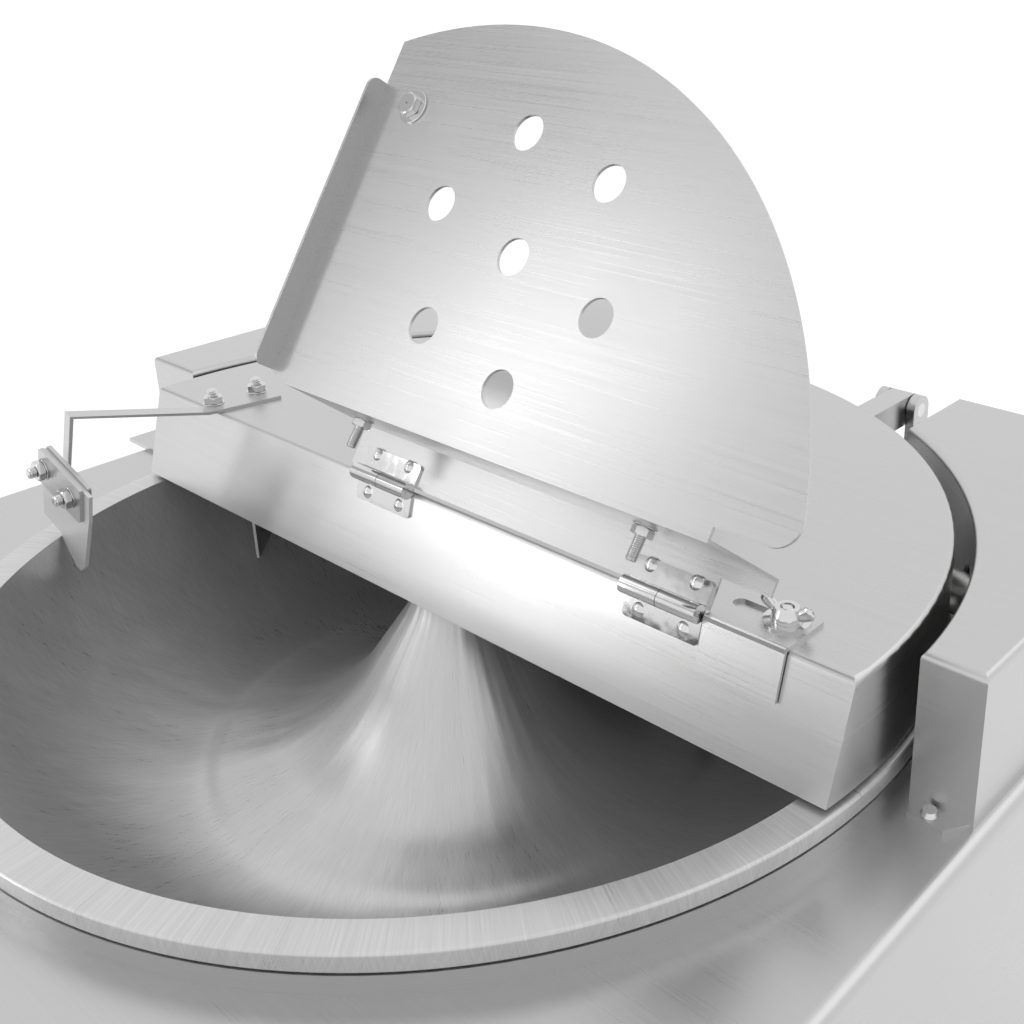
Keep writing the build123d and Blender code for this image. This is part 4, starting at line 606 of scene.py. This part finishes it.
@dataclass(frozen=True)
class Axle:
    """A foot and a way that a fastener is built along."""

    foot: Vec
    way: Vec = UP

    def grid(self, radius: np.ndarray, height: np.ndarray, turn: np.ndarray) -> np.ndarray:
        """Points at a radius, a height and a turn round the axle.

        The point is the foot plus the height along the way plus the radius times the cosine and the sine of
        the turn along two directions square to it.

        Args:
            radius: radius of each point.
            height: height of each point along the way.
            turn: turn of each point, in radians.
        Returns:
            The points, in the shape of the three arrays.
        """
        way = np.array(self.way) / np.linalg.norm(self.way)
        side = np.cross(way, (0.0, 1.0, 0.0) if abs(way[1]) < 0.9 else (1.0, 0.0, 0.0))
        side = side / np.linalg.norm(side)
        up = np.cross(way, side)
        radius, height, turn = np.broadcast_arrays(radius, height, turn)
        out = np.cos(turn)[..., None] * side + np.sin(turn)[..., None] * up
        return np.array(self.foot) + height[..., None] * way + radius[..., None] * out


def lathed(axle: Axle, section: Sequence[tuple[float, float]], steps: int = 40) -> np.ndarray:
    """The grid of a section turned round an axle, each point at its radius and height."""
    radius, height = np.array(section).T
    return axle.grid(radius[None, :], height[None, :], wound(steps)[:, None])


def hexagon(axle: Axle, flat: float, low: float, high: float, bore: float) -> np.ndarray:
    """The grid of a nut or a bolt's head.

    The side's radius is half the width across flats over the cosine of the turn from the nearest flat. Past a
    circle just inside the flats, both ends fall by 0.58 of what the side stands out, as a chamfer does.

    Args:
        axle: what it is built along.
        flat: half the width across flats.
        low: height of its lower end.
        high: height of its upper end.
        bore: radius of its hole.
    Returns:
        The grid, closed both ways.
    """
    steps, inset, chamfer = 72, 0.97, 0.58
    turn = wound(steps)[:, None]
    side = flat / np.cos((turn + math.pi / 6) % (math.pi / 3) - math.pi / 6)
    circle = np.full_like(side, inset * flat)
    hole = np.full_like(side, bore)
    fall = chamfer * (side - circle)
    radius = np.concatenate((hole, circle, side, side, circle, hole), axis=1)
    foot, top = np.full_like(side, low), np.full_like(side, high)
    height = np.concatenate((foot, foot, foot + fall, top - fall, top, top), axis=1)
    return axle.grid(radius, height, turn)


def threaded(axle: Axle, radius: float, low: float, high: float, pitch: float) -> np.ndarray:
    """The grid of a threaded shank with a chamfered end.

    The radius falls by 0.61 pitches times half of one less the cosine of the height over the pitch less the
    turn, so that the groove climbs one pitch a turn. Over the last 0.8 pitches it narrows by a quarter.

    Args:
        axle: what it is built along.
        radius: its outer radius.
        low: height of its plain end.
        high: height of its chamfered end.
        pitch: rise of the thread in one turn.
    Returns:
        The grid, which closes at both ends on the axle.
    """
    steps, points_to_pitch = 28, 9
    groove_depth, end_length, end_fall = 0.61, 0.8, 0.25
    turn = wound(steps)[:, None]
    height = np.linspace(low, high, int((high - low) / pitch * points_to_pitch))[None, :]
    groove = 0.5 - 0.5 * np.cos(2 * math.pi * height / pitch - turn)
    end = np.clip((high - height) / (end_length * pitch), 0.0, 1.0)
    body = radius - groove_depth * pitch * groove - (1 - end) * end_fall * radius
    closed = np.zeros_like(turn)
    radii = np.concatenate((closed, body, closed), axis=1)
    heights = np.concatenate((closed + low, np.broadcast_to(height, groove.shape), closed + high), axis=1)
    return axle.grid(radii, heights, turn)


def ring(axle: Axle, inner: float, outer: float, thickness: float) -> np.ndarray:
    """The grid of a washer with its outer edges broken, that stands on its axle's foot.

    Args:
        axle: what it is built along.
        inner: radius of its hole.
        outer: its outer radius.
        thickness: how thick it is.
    Returns:
        The grid, closed both ways.
    """
    steps, edge = 48, 0.25 * thickness
    lower = [(inner, 0.0), (outer - edge, 0.0), (outer, edge)]
    upper = [(outer, thickness - edge), (outer - edge, thickness), (inner, thickness)]
    return lathed(axle, lower + upper, steps)


def assembled(name: str, grids: Sequence[np.ndarray], degrees: float = 30.0) -> bpy.types.Mesh:
    """Puts grids that are closed both ways into one mesh and merges the points at their poles.

    Args:
        name: the mesh's name.
        grids: the grids.
        degrees: the angle past which an edge stays sharp.
    Returns:
        The mesh, its faces pointing outwards.
    """
    close = 1e-7
    work = bmesh.new()
    for grid in grids:
        part = gridded(name, grid)
        work.from_mesh(part)
        bpy.data.meshes.remove(part)
    bmesh.ops.remove_doubles(work, verts=work.verts, dist=close)
    bmesh.ops.dissolve_degenerate(work, dist=close, edges=work.edges)
    bmesh.ops.recalc_face_normals(work, faces=work.faces)
    mesh = bpy.data.meshes.new(name)
    work.to_mesh(mesh)
    work.free()
    smooth_by_angle(mesh, degrees)
    return mesh


@dataclass(frozen=True)
class Rivet:
    """A hinge rivet: a head that is part of a ball, on a shank."""

    head_r: float = 0.0031
    rise: float = 0.0015
    sunk: float = 0.00005  # how far the head lies in its leaf
    shank_r: float = 0.0015
    depth: float = 0.0025

    def grid(self, axle: Axle) -> np.ndarray:
        """The grid of the rivet, its head's foot at the axle's.

        Args:
            axle: what it is built along.
        Returns:
            The grid, which closes at both ends on the axle.
        """
        points, steps = 9, 32
        ball = (self.head_r**2 + self.rise**2) / (2 * self.rise)
        angle = np.linspace(0.0, math.asin(self.head_r / ball), points)
        head = np.stack((ball * np.sin(angle), ball * np.cos(angle) - ball + self.rise), axis=1)
        neck = ((self.head_r, -self.sunk), (self.shank_r, -self.sunk))
        shank = ((self.shank_r, -self.depth), (0.0, -self.depth))
        return lathed(axle, np.concatenate((head, neck, shank))[::-1], steps)


@dataclass(frozen=True)
class Thread:
    """The sizes that a threaded fastener shares with its nuts, its washer and its head."""

    radius: float
    pitch: float
    flat: float  # half the width across flats
    bore: float  # radius of the hole in a nut and a washer
    nut: float  # height of a nut
    washer_r: float = 0.0
    washer: float = 0.0006  # how thick the washer is

    def shank(self, axle: Axle, low: float, high: float) -> np.ndarray:
        """The grid of the threaded shank from low to high."""
        return threaded(axle, self.radius, low, high, self.pitch)

    def block(self, axle: Axle, low: float, height: float, bore: float | None = None) -> np.ndarray:
        """The grid of a nut, or of a head where a bore is given that is too small to see."""
        return hexagon(axle, self.flat, low, low + height, self.bore if bore is None else bore)

    def nutted(self, axle: Axle, low: float, high: float) -> list[np.ndarray]:
        """The grids of a shank from low to high with a washer and a nut on the axle's foot.

        Args:
            axle: what it is built along.
            low: height of the shank's plain end.
            high: height of its chamfered end.
        Returns:
            The grids.
        """
        washer = ring(axle, self.bore, self.washer_r, self.washer)
        return [self.shank(axle, low, high), washer, self.block(axle, self.washer, self.nut)]


@dataclass(frozen=True)
class WingNut:
    """A wing nut with a round hub and two raised wings."""

    bore: float = 0.0028
    foot_r: float = 0.0061
    widest_r: float = 0.0063
    widest_z: float = 0.0006
    waist_r: float = 0.0056
    waist_z: float = 0.0030
    top_r: float = 0.0047
    height: float = 0.0052
    wing_start: float = 0.0040  # from the axle, where the wing leaves the hub
    wing_reach: float = 0.0072
    wing_foot: float = 0.0026
    wing_rise: float = 0.0044
    width: float = 0.0020  # half-width at the hub
    swell: float = 0.0012
    thick: float = 0.0013  # half-thickness at the hub
    taper: float = 0.0004
    round_from: float = 0.72  # share of the wing's length where its round end starts

    def hub(self) -> list[tuple[float, float]]:
        """Radius and height of the hub's points."""
        low = [(self.bore, 0.0), (self.foot_r, 0.0), (self.widest_r, self.widest_z)]
        return low + [(self.waist_r, self.waist_z), (self.top_r, self.height), (self.bore, self.height)]

    def grids(self, foot: Vec) -> list[np.ndarray]:
        """Builds the hub and its wings.

        A wing is an ellipse carried along a curve that leaves the hub and rises as the power 1.5 of its
        length; it swells towards its round end. Its half-width is along the curve's normal and its
        half-thickness along Y.

        Args:
            foot: middle of the hub's foot.
        Returns:
            The grids.
        """
        power, points, steps = 1.5, 24, 20
        along = np.linspace(0.0, 1.0, points)[:, None]
        around = wound(steps)[None, :]
        reach = self.wing_start + self.wing_reach * along
        rise = self.wing_foot + self.wing_rise * along**power
        past = np.clip((along - self.round_from) / (1 - self.round_from), 0, 1)
        end = np.sqrt(np.clip(1 - past**2, 0, 1))
        width = (self.width + self.swell * along) * end
        thick = (self.thick - self.taper * along) * end
        lean = np.arctan2(power * self.wing_rise * along ** (power - 1), self.wing_reach)
        made = [lathed(Axle(foot), self.hub())]
        for side in (-1, 1):
            x = foot[0] + side * (reach - width * np.cos(around) * np.sin(lean))
            y = foot[1] + thick * np.sin(around)
            z = foot[2] + rise + width * np.cos(around) * np.cos(lean)
            made.append(np.stack((x, y, z), axis=-1))
        return made


# -------- sub-assemblies


@dataclass
class Assembly:
    """Pieces that are dressed together, with the loaded frame and the finishes."""

    frame: dict[str, Any]
    finish: Finishes

    def coat(self, material: bpy.types.Material, *nodes: str) -> None:
        """Gives CAD nodes their finish.

        Args:
            material: the finish.
            nodes: the nodes' names.
        """
        for node in nodes:
            mesh = self.frame["nodes"][node].data
            mesh.materials.clear()
            mesh.materials.append(material)
            log.info("%s wears %s", node, material.name)


    def rivets(self, name: str, node: str, body: str, foot: tuple[float, float], way: Vec) -> None:
        """Builds the domed rivets of one row of hinge leaves.

        Args:
            name: the piece's name.
            node: the node that it replaces.
            body: the body that it moves with.
            foot: Y and Z of the heads' feet.
            way: the way that the heads stand.
        """
        grids = [Rivet().grid(Axle((x, *foot), way)) for x in RIVET_X]
        placed(assembled(name, grids), self.finish.bright, body, node)


@dataclass
class Stand(Assembly):
    """The cabinet with its deck, feet and the housings on its top."""

    def build(self) -> None:
        """Dresses the cabinet's sheets, plates and feet."""
        self.coat(self.finish.deck, "cabinet_shell", "deck_panel", "right_housing", "left_housing")
        self.coat(self.finish.deck, "bowl_collar", "hinge_brackets")
        self.coat(self.finish.dull, "base_plate", "bridge_channel", "motor_bracket")
        self.coat(self.finish.rubber, "feet")
        self.coat(self.finish.fastener, "housing_screws")


@dataclass
class Drives(Assembly):
    """Bowl drive, knife shaft, belt and motor."""

    def build(self) -> None:
        """Dresses the machinery under the deck and behind the housing."""
        self.coat(self.finish.cast, "drive_plate", "spindle_housing", "shaft_pedestal")
        self.coat(self.finish.dull, "bowl_spindle", "spindle_bearings", "bowl_gear", "drive_pinion")
        self.coat(self.finish.dull, "knife_shaft", "knife_bearings", "knife_pulley")
        self.coat(self.finish.dull, "motor_pulley", "motor_shaft")
        self.coat(self.finish.motor, "bowl_gearmotor", "motor_frame", "motor_cowl")
        self.coat(self.finish.plastic, "motor_fan")
        self.coat(self.finish.rubber, "knife_seal")
        self.coat(self.finish.belt, "v_belt")
        self.coat(self.finish.knife, "knife_1", "knife_2", "knife_spacer")
        self.coat(self.finish.fastener, "knife_nut")


@dataclass
class Bowl(Assembly):
    """The turning bowl, spun in two parts that meet in a ground ring round the cone, and its nut."""

    rim_r: float = 0.230
    rim_thickness: float = 0.008
    rim_edge: float = 0.0012
    cone_angle: float = 35.0
    cone_neck_r: float = 0.02665
    cone_top_r: float = 0.018
    cone_top_z: float = 0.014
    thread_r: float = 0.0081
    wall: float = 0.003
    seat_flat: float = 0.0004
    ring_outer: float = 0.121  # the raised ring where the cone's disc is welded in
    ring_inner: float = 0.094
    ring_blend: float = 0.0022
    ring_rise: float = 0.0024
    corner_points: int = 5
    inside_points: int = 150
    outside_points: int = 60
    flank_points: int = 12
    neck_points: int = 20
    steps: int = 256  # faces round the axis
    sharp: float = 25.0  # degrees

    def arc(self, start: np.ndarray, way: np.ndarray, end: np.ndarray, count: int) -> np.ndarray:
        """Points of the circle through two points that leaves the first one in a given way.

        The centre lies square to the way, where it is as far from both points.

        Args:
            start: first point, as radius and height.
            way: unit vector along the curve at the first point.
            end: last point.
            count: how many points.
        Returns:
            The points, one to a row.
        """
        square = np.array((-way[1], way[0]))
        gap = end - start
        reach = gap @ gap / (2 * gap @ square)
        middle = start + reach * square
        first = np.arctan2(*(start - middle)[::-1])
        last = np.arctan2(*(end - middle)[::-1])
        swing = (last - first + math.pi) % (2 * math.pi) - math.pi
        angle = first + swing * np.linspace(0, 1, count)
        return middle + abs(reach) * np.stack((np.cos(angle), np.sin(angle)), axis=1)

    def skin(self, offset: float, rise: float, count: int) -> np.ndarray:
        """One side of the bowl's wall from the rim's inner edge to the top of the cone.

        The trough is a circle about its middle, the cone's flank is the tangent where the circle has turned
        by the cone's angle, and an arc tangent to the flank ends at the top. The ring lifts the surface
        between its two radii, with an S-shaped step at its outer edge and one twice as long inside.

        Args:
            offset: how far the side lies outside the trough's own circle.
            rise: height of the ring.
            count: points along the trough.
        Returns:
            Radius and height of each point.
        """
        flank = math.radians(self.cone_angle)
        radius = TROUGH_R + offset
        first = math.asin(-(TROUGH_Z + (self.rim_thickness if offset else 0.0)) / radius)
        angle = np.linspace(first, flank - math.pi, count)
        out = np.stack((np.cos(angle), np.sin(angle)), axis=1)
        from_axis = TROUGH_AXIS_R + radius * out[:, 0]
        outer_step = 1 / (1 + np.exp((from_axis - self.ring_outer) / self.ring_blend))
        inner_step = 1 / (1 + np.exp((self.ring_inner - from_axis) / (2 * self.ring_blend)))
        lift = rise * outer_step * inner_step
        middle = np.array((TROUGH_AXIS_R, TROUGH_Z))
        trough = middle + (radius - lift)[:, None] * out
        way = np.array((-math.sin(flank), math.cos(flank)))
        length = (TROUGH_AXIS_R - TROUGH_R * math.cos(flank) - self.cone_neck_r) / math.sin(flank)
        straight = trough[-1] + np.linspace(0, 1, self.flank_points)[1:, None] * length * way
        drop = self.wall if offset else 0.0
        top = np.array((self.cone_top_r - drop, self.cone_top_z - drop))
        return np.concatenate((trough, straight, self.arc(straight[-1], way, top, self.neck_points)[1:]))

    def profile(self) -> np.ndarray:
        """The whole section: rounded rim, inside, cone top, bore and outside, closed on itself.

        Returns:
            Radius and height of each point.
        """
        edge = self.rim_edge
        angle = np.linspace(0, math.pi / 2, self.corner_points)
        corner = np.stack((np.cos(angle), np.sin(angle)), axis=1) * edge
        upper = corner + (self.rim_r - edge, -edge)
        lower = corner[::-1] * (1, -1) + (self.rim_r - edge, edge - self.rim_thickness)
        inner = self.skin(0.0, self.ring_rise, self.inside_points)
        outer = self.skin(self.wall, 0.0, self.outside_points)[::-1]
        seat = TROUGH_Z - TROUGH_R - self.wall + self.seat_flat
        outer[:, 1] = np.maximum(outer[:, 1], seat)
        bore = np.array(((self.thread_r, self.cone_top_z), (self.thread_r, self.cone_top_z - self.wall)))
        return np.concatenate((lower, upper, inner, bore, outer))

    def build(self) -> None:
        """Turns the section once round the axis and dresses it and its nut."""
        axle = Axle((BOWL_X, BOWL_Y, RIM_Z))
        mesh = gridded("bowl_skin", lathed(axle, self.profile(), self.steps))
        smooth_by_angle(mesh, self.sharp)
        placed(mesh, self.finish.bowl, "bowl", "bowl")
        self.coat(self.finish.bright, "bowl_nut")


@dataclass
class Cover(Assembly):
    """The knife cover with its dome, scrapers, hinges and pins."""

    rivet_foot: tuple[float, float] = (-0.02022, 0.36194)  # Y and Z of the lower leaves' rivet heads
    rivet_way: Vec = (0.0, -0.9583, 0.2857)
    arm_feet: tuple[Vec, ...] = ((-0.152, -0.0135, 0.3673), (-0.1496, 0.0118, 0.3613))
    arm_top: float = 0.3703
    arm_head: float = 0.004  # height of the second bolt's head, under the cover's sheet
    clamp_bolts: tuple[tuple[float, float], ...] = ((-0.1430, 0.3497), (-0.1667, 0.3579))  # X and Z
    clamp_back: float = -0.0957
    clamp_front: float = -0.1017
    bolt: Thread = Thread(0.0029, 0.001, 0.0046, 0.00261, 0.0036, 0.0056)
    bolt_proud: float = 0.0079
    head_bore: float = 0.0005
    wing_nut: WingNut = WingNut()
    wing_foot: Vec = (0.2136, -0.0019, 0.3713)
    wing_thread: Thread = Thread(0.0028, 0.001, 0.0047, 0.0028, 0.003)
    wing_head_z: float = 0.3628  # foot of the wing stud's head, under the cover's sheet
    wing_shank: tuple[float, float] = (-0.0055, 0.0048)  # its ends, from the wing nut's foot
    wing_sharp: float = 50.0  # degrees

    def bolts(self) -> None:
        """Builds the threaded bolts with nuts and washers that hold the arm and clamp the blade."""
        grids = []
        for x, y, foot in self.arm_feet:
            grids += self.bolt.nutted(Axle((x, y, self.arm_top)), foot - self.arm_top, self.bolt_proud)
        for x, z in self.clamp_bolts:
            axle = Axle((x, self.clamp_front, z), FRONT)
            grids += self.bolt.nutted(axle, self.clamp_front - self.clamp_back, self.bolt_proud)
        grids.append(self.bolt.block(Axle(self.arm_feet[1]), 0.0, self.arm_head, self.head_bore))
        mesh = assembled("scraper_bolt_set", grids)
        placed(mesh, self.finish.fastener, "cover", "scraper_bolts")

    def wing(self) -> None:
        """Builds the wing nut, and the stud that it turns on with its head."""
        mesh = assembled("wing_nut_body", self.wing_nut.grids(self.wing_foot), self.wing_sharp)
        placed(mesh, self.finish.fastener, "wing", "wing_nut")
        thread = self.wing_thread
        head = Axle((*self.wing_foot[:2], self.wing_head_z))
        shank = thread.shank(Axle(self.wing_foot), *self.wing_shank)
        stud = [shank, thread.block(head, 0.0, thread.nut, self.head_bore)]
        mesh = assembled("wing_stud_body", stud)
        placed(mesh, self.finish.fastener, "cover", "wing_stud")

    def build(self) -> None:
        """Dresses the cover and builds what is bolted to it."""
        self.coat(self.finish.cover, "knife_cover", "knife_dome", "clamp_plates")
        self.coat(self.finish.cover, "scraper_arm", "inner_scraper")
        self.coat(self.finish.blade, "scraper_blade")
        self.coat(self.finish.hinge, "hinge_lower_leaves", "hinge_upper_leaves", "hinge_pins", "back_pins")
        self.coat(self.finish.fastener, "wing_washer")
        self.rivets("lower_rivet_domes", "lower_rivets", "cover", self.rivet_foot, self.rivet_way)
        self.bolts()
        self.wing()


@dataclass
class Flap(Assembly):
    """The guard flap, its bolt and studs, and the stop bracket."""

    sheet: float = 0.0015
    plate_way: Vec = (0.0, -0.8290, 0.5592)  # square to the upper leaves and to the plate
    rivet_foot: tuple[float, float] = (-0.01233, 0.37861)  # Y and Z of the upper leaves' rivet heads
    stud_feet: tuple[Vec, ...] = ((0.0002, -0.02715, 0.40441), (0.1664, -0.02715, 0.40441))
    stud_way: Vec = (0.0, -0.6225, -0.7826)
    stud_length: float = 0.014
    stud_tail: float = 0.0055  # past the sheet's other face
    stud: Thread = Thread(0.00245, 0.0008, 0.0040, 0.0023, 0.0036, 0.0050)
    stud_lock_nut: float = 0.0040
    bolt_foot: Vec = (-0.0185, 0.02994, 0.53356)
    bolt: Thread = Thread(0.0027, 0.0008, 0.0048, 0.0025, 0.0036, 0.0080, 0.0010)
    bolt_head: float = 0.0038
    bolt_head_bore: float = 0.0004
    bolt_tail: float = 0.0050
    bolt_top: float = 0.0012

    def studs(self) -> None:
        """Builds the two threaded stop bolts, each with a nut on both faces of the wall."""
        grids = []
        for foot in self.stud_feet:
            axle = Axle(foot, self.stud_way)
            grids += self.stud.nutted(axle, -self.sheet - self.stud_tail, self.stud_length)
            grids.append(self.stud.block(axle, -self.sheet - self.stud_lock_nut, self.stud_lock_nut))
        mesh = assembled("flap_stud_set", grids)
        placed(mesh, self.finish.fastener, "flap", "flap_studs")

    def plate_bolt(self) -> None:
        """Builds the hexagon bolt near the plate's corner with its washer and nut."""
        bolt = self.bolt
        axle = Axle(self.bolt_foot, self.plate_way)
        grids = [
            ring(axle, bolt.bore, bolt.washer_r, bolt.washer),
            bolt.block(axle, bolt.washer, self.bolt_head, self.bolt_head_bore),
            bolt.block(axle, -self.sheet - bolt.nut, bolt.nut),
            bolt.shank(axle, -self.sheet - self.bolt_tail, self.bolt_top),
        ]
        mesh = assembled("flap_bolt_set", grids)
        placed(mesh, self.finish.fastener, "flap", "flap_bolt")

    def build(self) -> None:
        """Dresses the flap and builds its fasteners."""
        self.coat(self.finish.flap, "guard_flap", "stop_bracket")
        self.rivets("upper_rivet_domes", "upper_rivets", "flap", self.rivet_foot, self.plate_way)
        self.studs()
        self.plate_bolt()


@dataclass
class Controls(Assembly):
    """Push buttons, their box and the cable gland."""

    def build(self) -> None:
        """Dresses the controls."""
        self.coat(self.finish.plastic, "button_bezels", "control_box", "cable_gland")
        self.coat(self.finish.green, "start_button")
        self.coat(self.finish.red, "stop_button")


# -------- studio


@dataclass(frozen=True)
class Card:
    """A flat board beside the machine that only reflections see."""

    name: str
    middle: Vec
    width: float
    height: float
    tone: float  # 1 is white

    def build(self, aim: Vec) -> None:
        """Makes the board square to the line from its middle to its aim, and hides it from all but gloss.

        Args:
            aim: the point that it faces.
        """
        away = np.array(aim) - np.array(self.middle)
        away = away / np.linalg.norm(away)
        across = np.cross(away, UP)
        across = across / np.linalg.norm(across)
        up = np.cross(across, away)
        signs = np.array([(-1, -1), (1, -1), (1, 1), (-1, 1)]) * (self.width / 2, self.height / 2)
        corners = np.array(self.middle) + signs @ np.array([across, up])
        mesh = bpy.data.meshes.new(self.name)
        mesh.from_pydata(corners.tolist(), [], [(0, 1, 2, 3)])
        shade = Paint(self.name)
        shade.set(Base_Color=BLACK, Roughness=1.0, Specular_IOR_Level=0.0)
        mesh.materials.append(shade.set(Emission_Color=WHITE, Emission_Strength=self.tone))
        board = linked(self.name, mesh)
        board.visible_camera = False
        board.visible_diffuse = False
        board.visible_shadow = False


@dataclass(frozen=True)
class SoftBox:
    """A rectangular lamp that faces the machine."""

    name: str
    azimuth: float  # degrees: 0 in front, 90 on the drive side
    lift: float  # degrees above level
    width: float
    height: float
    glow: float  # how bright its face is; 1 is white

    def build(self, aim: Vec, reach: float) -> None:
        """Hangs the lamp.

        Args:
            aim: the point that it faces.
            reach: how far it is from there.
        """
        data = bpy.data.lights.new(self.name, "AREA")
        data.shape = "RECTANGLE"
        data.size, data.size_y = self.width, self.height
        data.energy = self.glow * math.pi * self.width * self.height
        turn, lift = math.radians(self.azimuth), math.radians(self.lift)
        away = np.array((math.sin(turn) * math.cos(lift), -math.cos(turn) * math.cos(lift), math.sin(lift)))
        lamp = linked(self.name, data)
        lamp.location = np.array(aim) + reach * away
        lamp.rotation_euler = (math.pi / 2 - lift, 0.0, turn)


@dataclass
class Studio:
    """Camera, white floor, world, lamps and boards."""

    place: Vec = (0.43991, -0.34296, 0.61701)
    turn_deg: Vec = (68.412, 0.408, 40.165)
    lens: float = 44.394
    sensor: float = 36.0
    shift: tuple[float, float] = (-0.14014, -0.10264)
    near: float = 0.02
    floor_reach: float = 12.0
    floor_glow: Colour = (0.45, 0.45, 0.45)
    floor_colour: Colour = (0.8, 0.8, 0.8)
    world_light: float = 0.75
    aim: Vec = (0.05, -0.05, 0.42)  # what the lamps and boards face
    lamp_reach: float = 2.4
    lamps: tuple[SoftBox, ...] = (
        SoftBox("low_box", -38.0, -1.0, 0.30, 0.9, 7.5),
        SoftBox("high_box", -50.0, 30.0, 0.42, 0.8, 2.2),
        SoftBox("back_box", 150.0, 40.0, 1.6, 1.2, 0.5),
    )
    boards: tuple[Card, ...] = (
        Card("left_board", (-2.0, -0.85, 1.6), 1.0, 1.3, 0.55),
        Card("low_board", (-1.15, -1.95, 0.12), 1.5, 0.11, 0.03),
        Card("right_board", (-1.3, -1.95, 2.0), 0.6, 0.8, 0.6),
    )

    def camera(self) -> None:
        """Sets the camera up for a square frame."""
        data = bpy.data.cameras.new("camera")
        data.lens = self.lens
        data.sensor_width = self.sensor
        data.sensor_fit = "HORIZONTAL"
        data.shift_x, data.shift_y = self.shift
        data.clip_start = self.near
        camera = linked("camera", data)
        camera.location = self.place
        camera.rotation_euler = [math.radians(a) for a in self.turn_deg]
        bpy.context.scene.camera = camera

    @staticmethod
    def seen(shade: Shade, seen: float, lit: float) -> Sock:
        """One strength where the camera or a reflection looks, and another where light bounces.

        Args:
            shade: the node tree being built.
            seen: the strength to the camera, in gloss and through glass.
            lit: the strength that lights the machine.
        Returns:
            The strength.
        """
        path = shade.node("ShaderNodeLightPath")
        looks = path["Is Camera Ray"].math("MAXIMUM", path["Is Glossy Ray"])
        return looks.math("MAXIMUM", path["Is Transmission Ray"]) * (seen - lit) + lit

    def world(self) -> None:
        """A white surround that lights softly."""
        world = bpy.data.worlds.new("studio")
        bpy.context.scene.world = world
        world.use_nodes = True
        shade = Shade(world.node_tree)
        inputs = {0: shade.colour(WHITE), 1: self.seen(shade, 1.0, self.world_light)}
        back = shade.node("ShaderNodeBackground", None, inputs).node
        out = shade.node("ShaderNodeOutputWorld").node
        shade.tree.links.new(back.outputs[0], out.inputs["Surface"])

    def floor(self) -> None:
        """A level white floor under the machine that keeps its shadow."""
        reach = self.floor_reach
        mesh = bpy.data.meshes.new("floor")
        corners = [(-reach, -reach, 0.0), (reach, -reach, 0.0), (reach, reach, 0.0), (-reach, reach, 0.0)]
        mesh.from_pydata(corners, [], [(0, 1, 2, 3)])
        shade = Paint("white_floor")
        shade.set(Base_Color=self.floor_colour, Roughness=0.9, Specular_IOR_Level=0.0)
        white = shade.mix(self.seen(shade, 1.0, 0.0), BLACK, self.floor_glow)
        mesh.materials.append(shade.set(Emission_Color=white, Emission_Strength=1.0))
        linked("floor", mesh)

    def build(self) -> None:
        """Sets up the whole studio."""
        bpy.context.scene.view_settings.view_transform = "Standard"
        self.camera()
        self.world()
        self.floor()
        for lamp in self.lamps:
            lamp.build(self.aim, self.lamp_reach)
        for board in self.boards:
            board.build(self.aim)


def main() -> None:
    """Builds the machine's dress in order."""
    logging.basicConfig(level=logging.INFO, format="%(name)s: %(message)s")
    for old in list(bpy.data.objects):
        bpy.data.objects.remove(old)
    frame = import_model()
    finish = Finishes()
    for assembly in (Stand, Drives, Bowl, Cover, Flap, Controls):
        assembly(frame, finish).build()
    Studio().build()


if __name__ == "__main__":
    main()
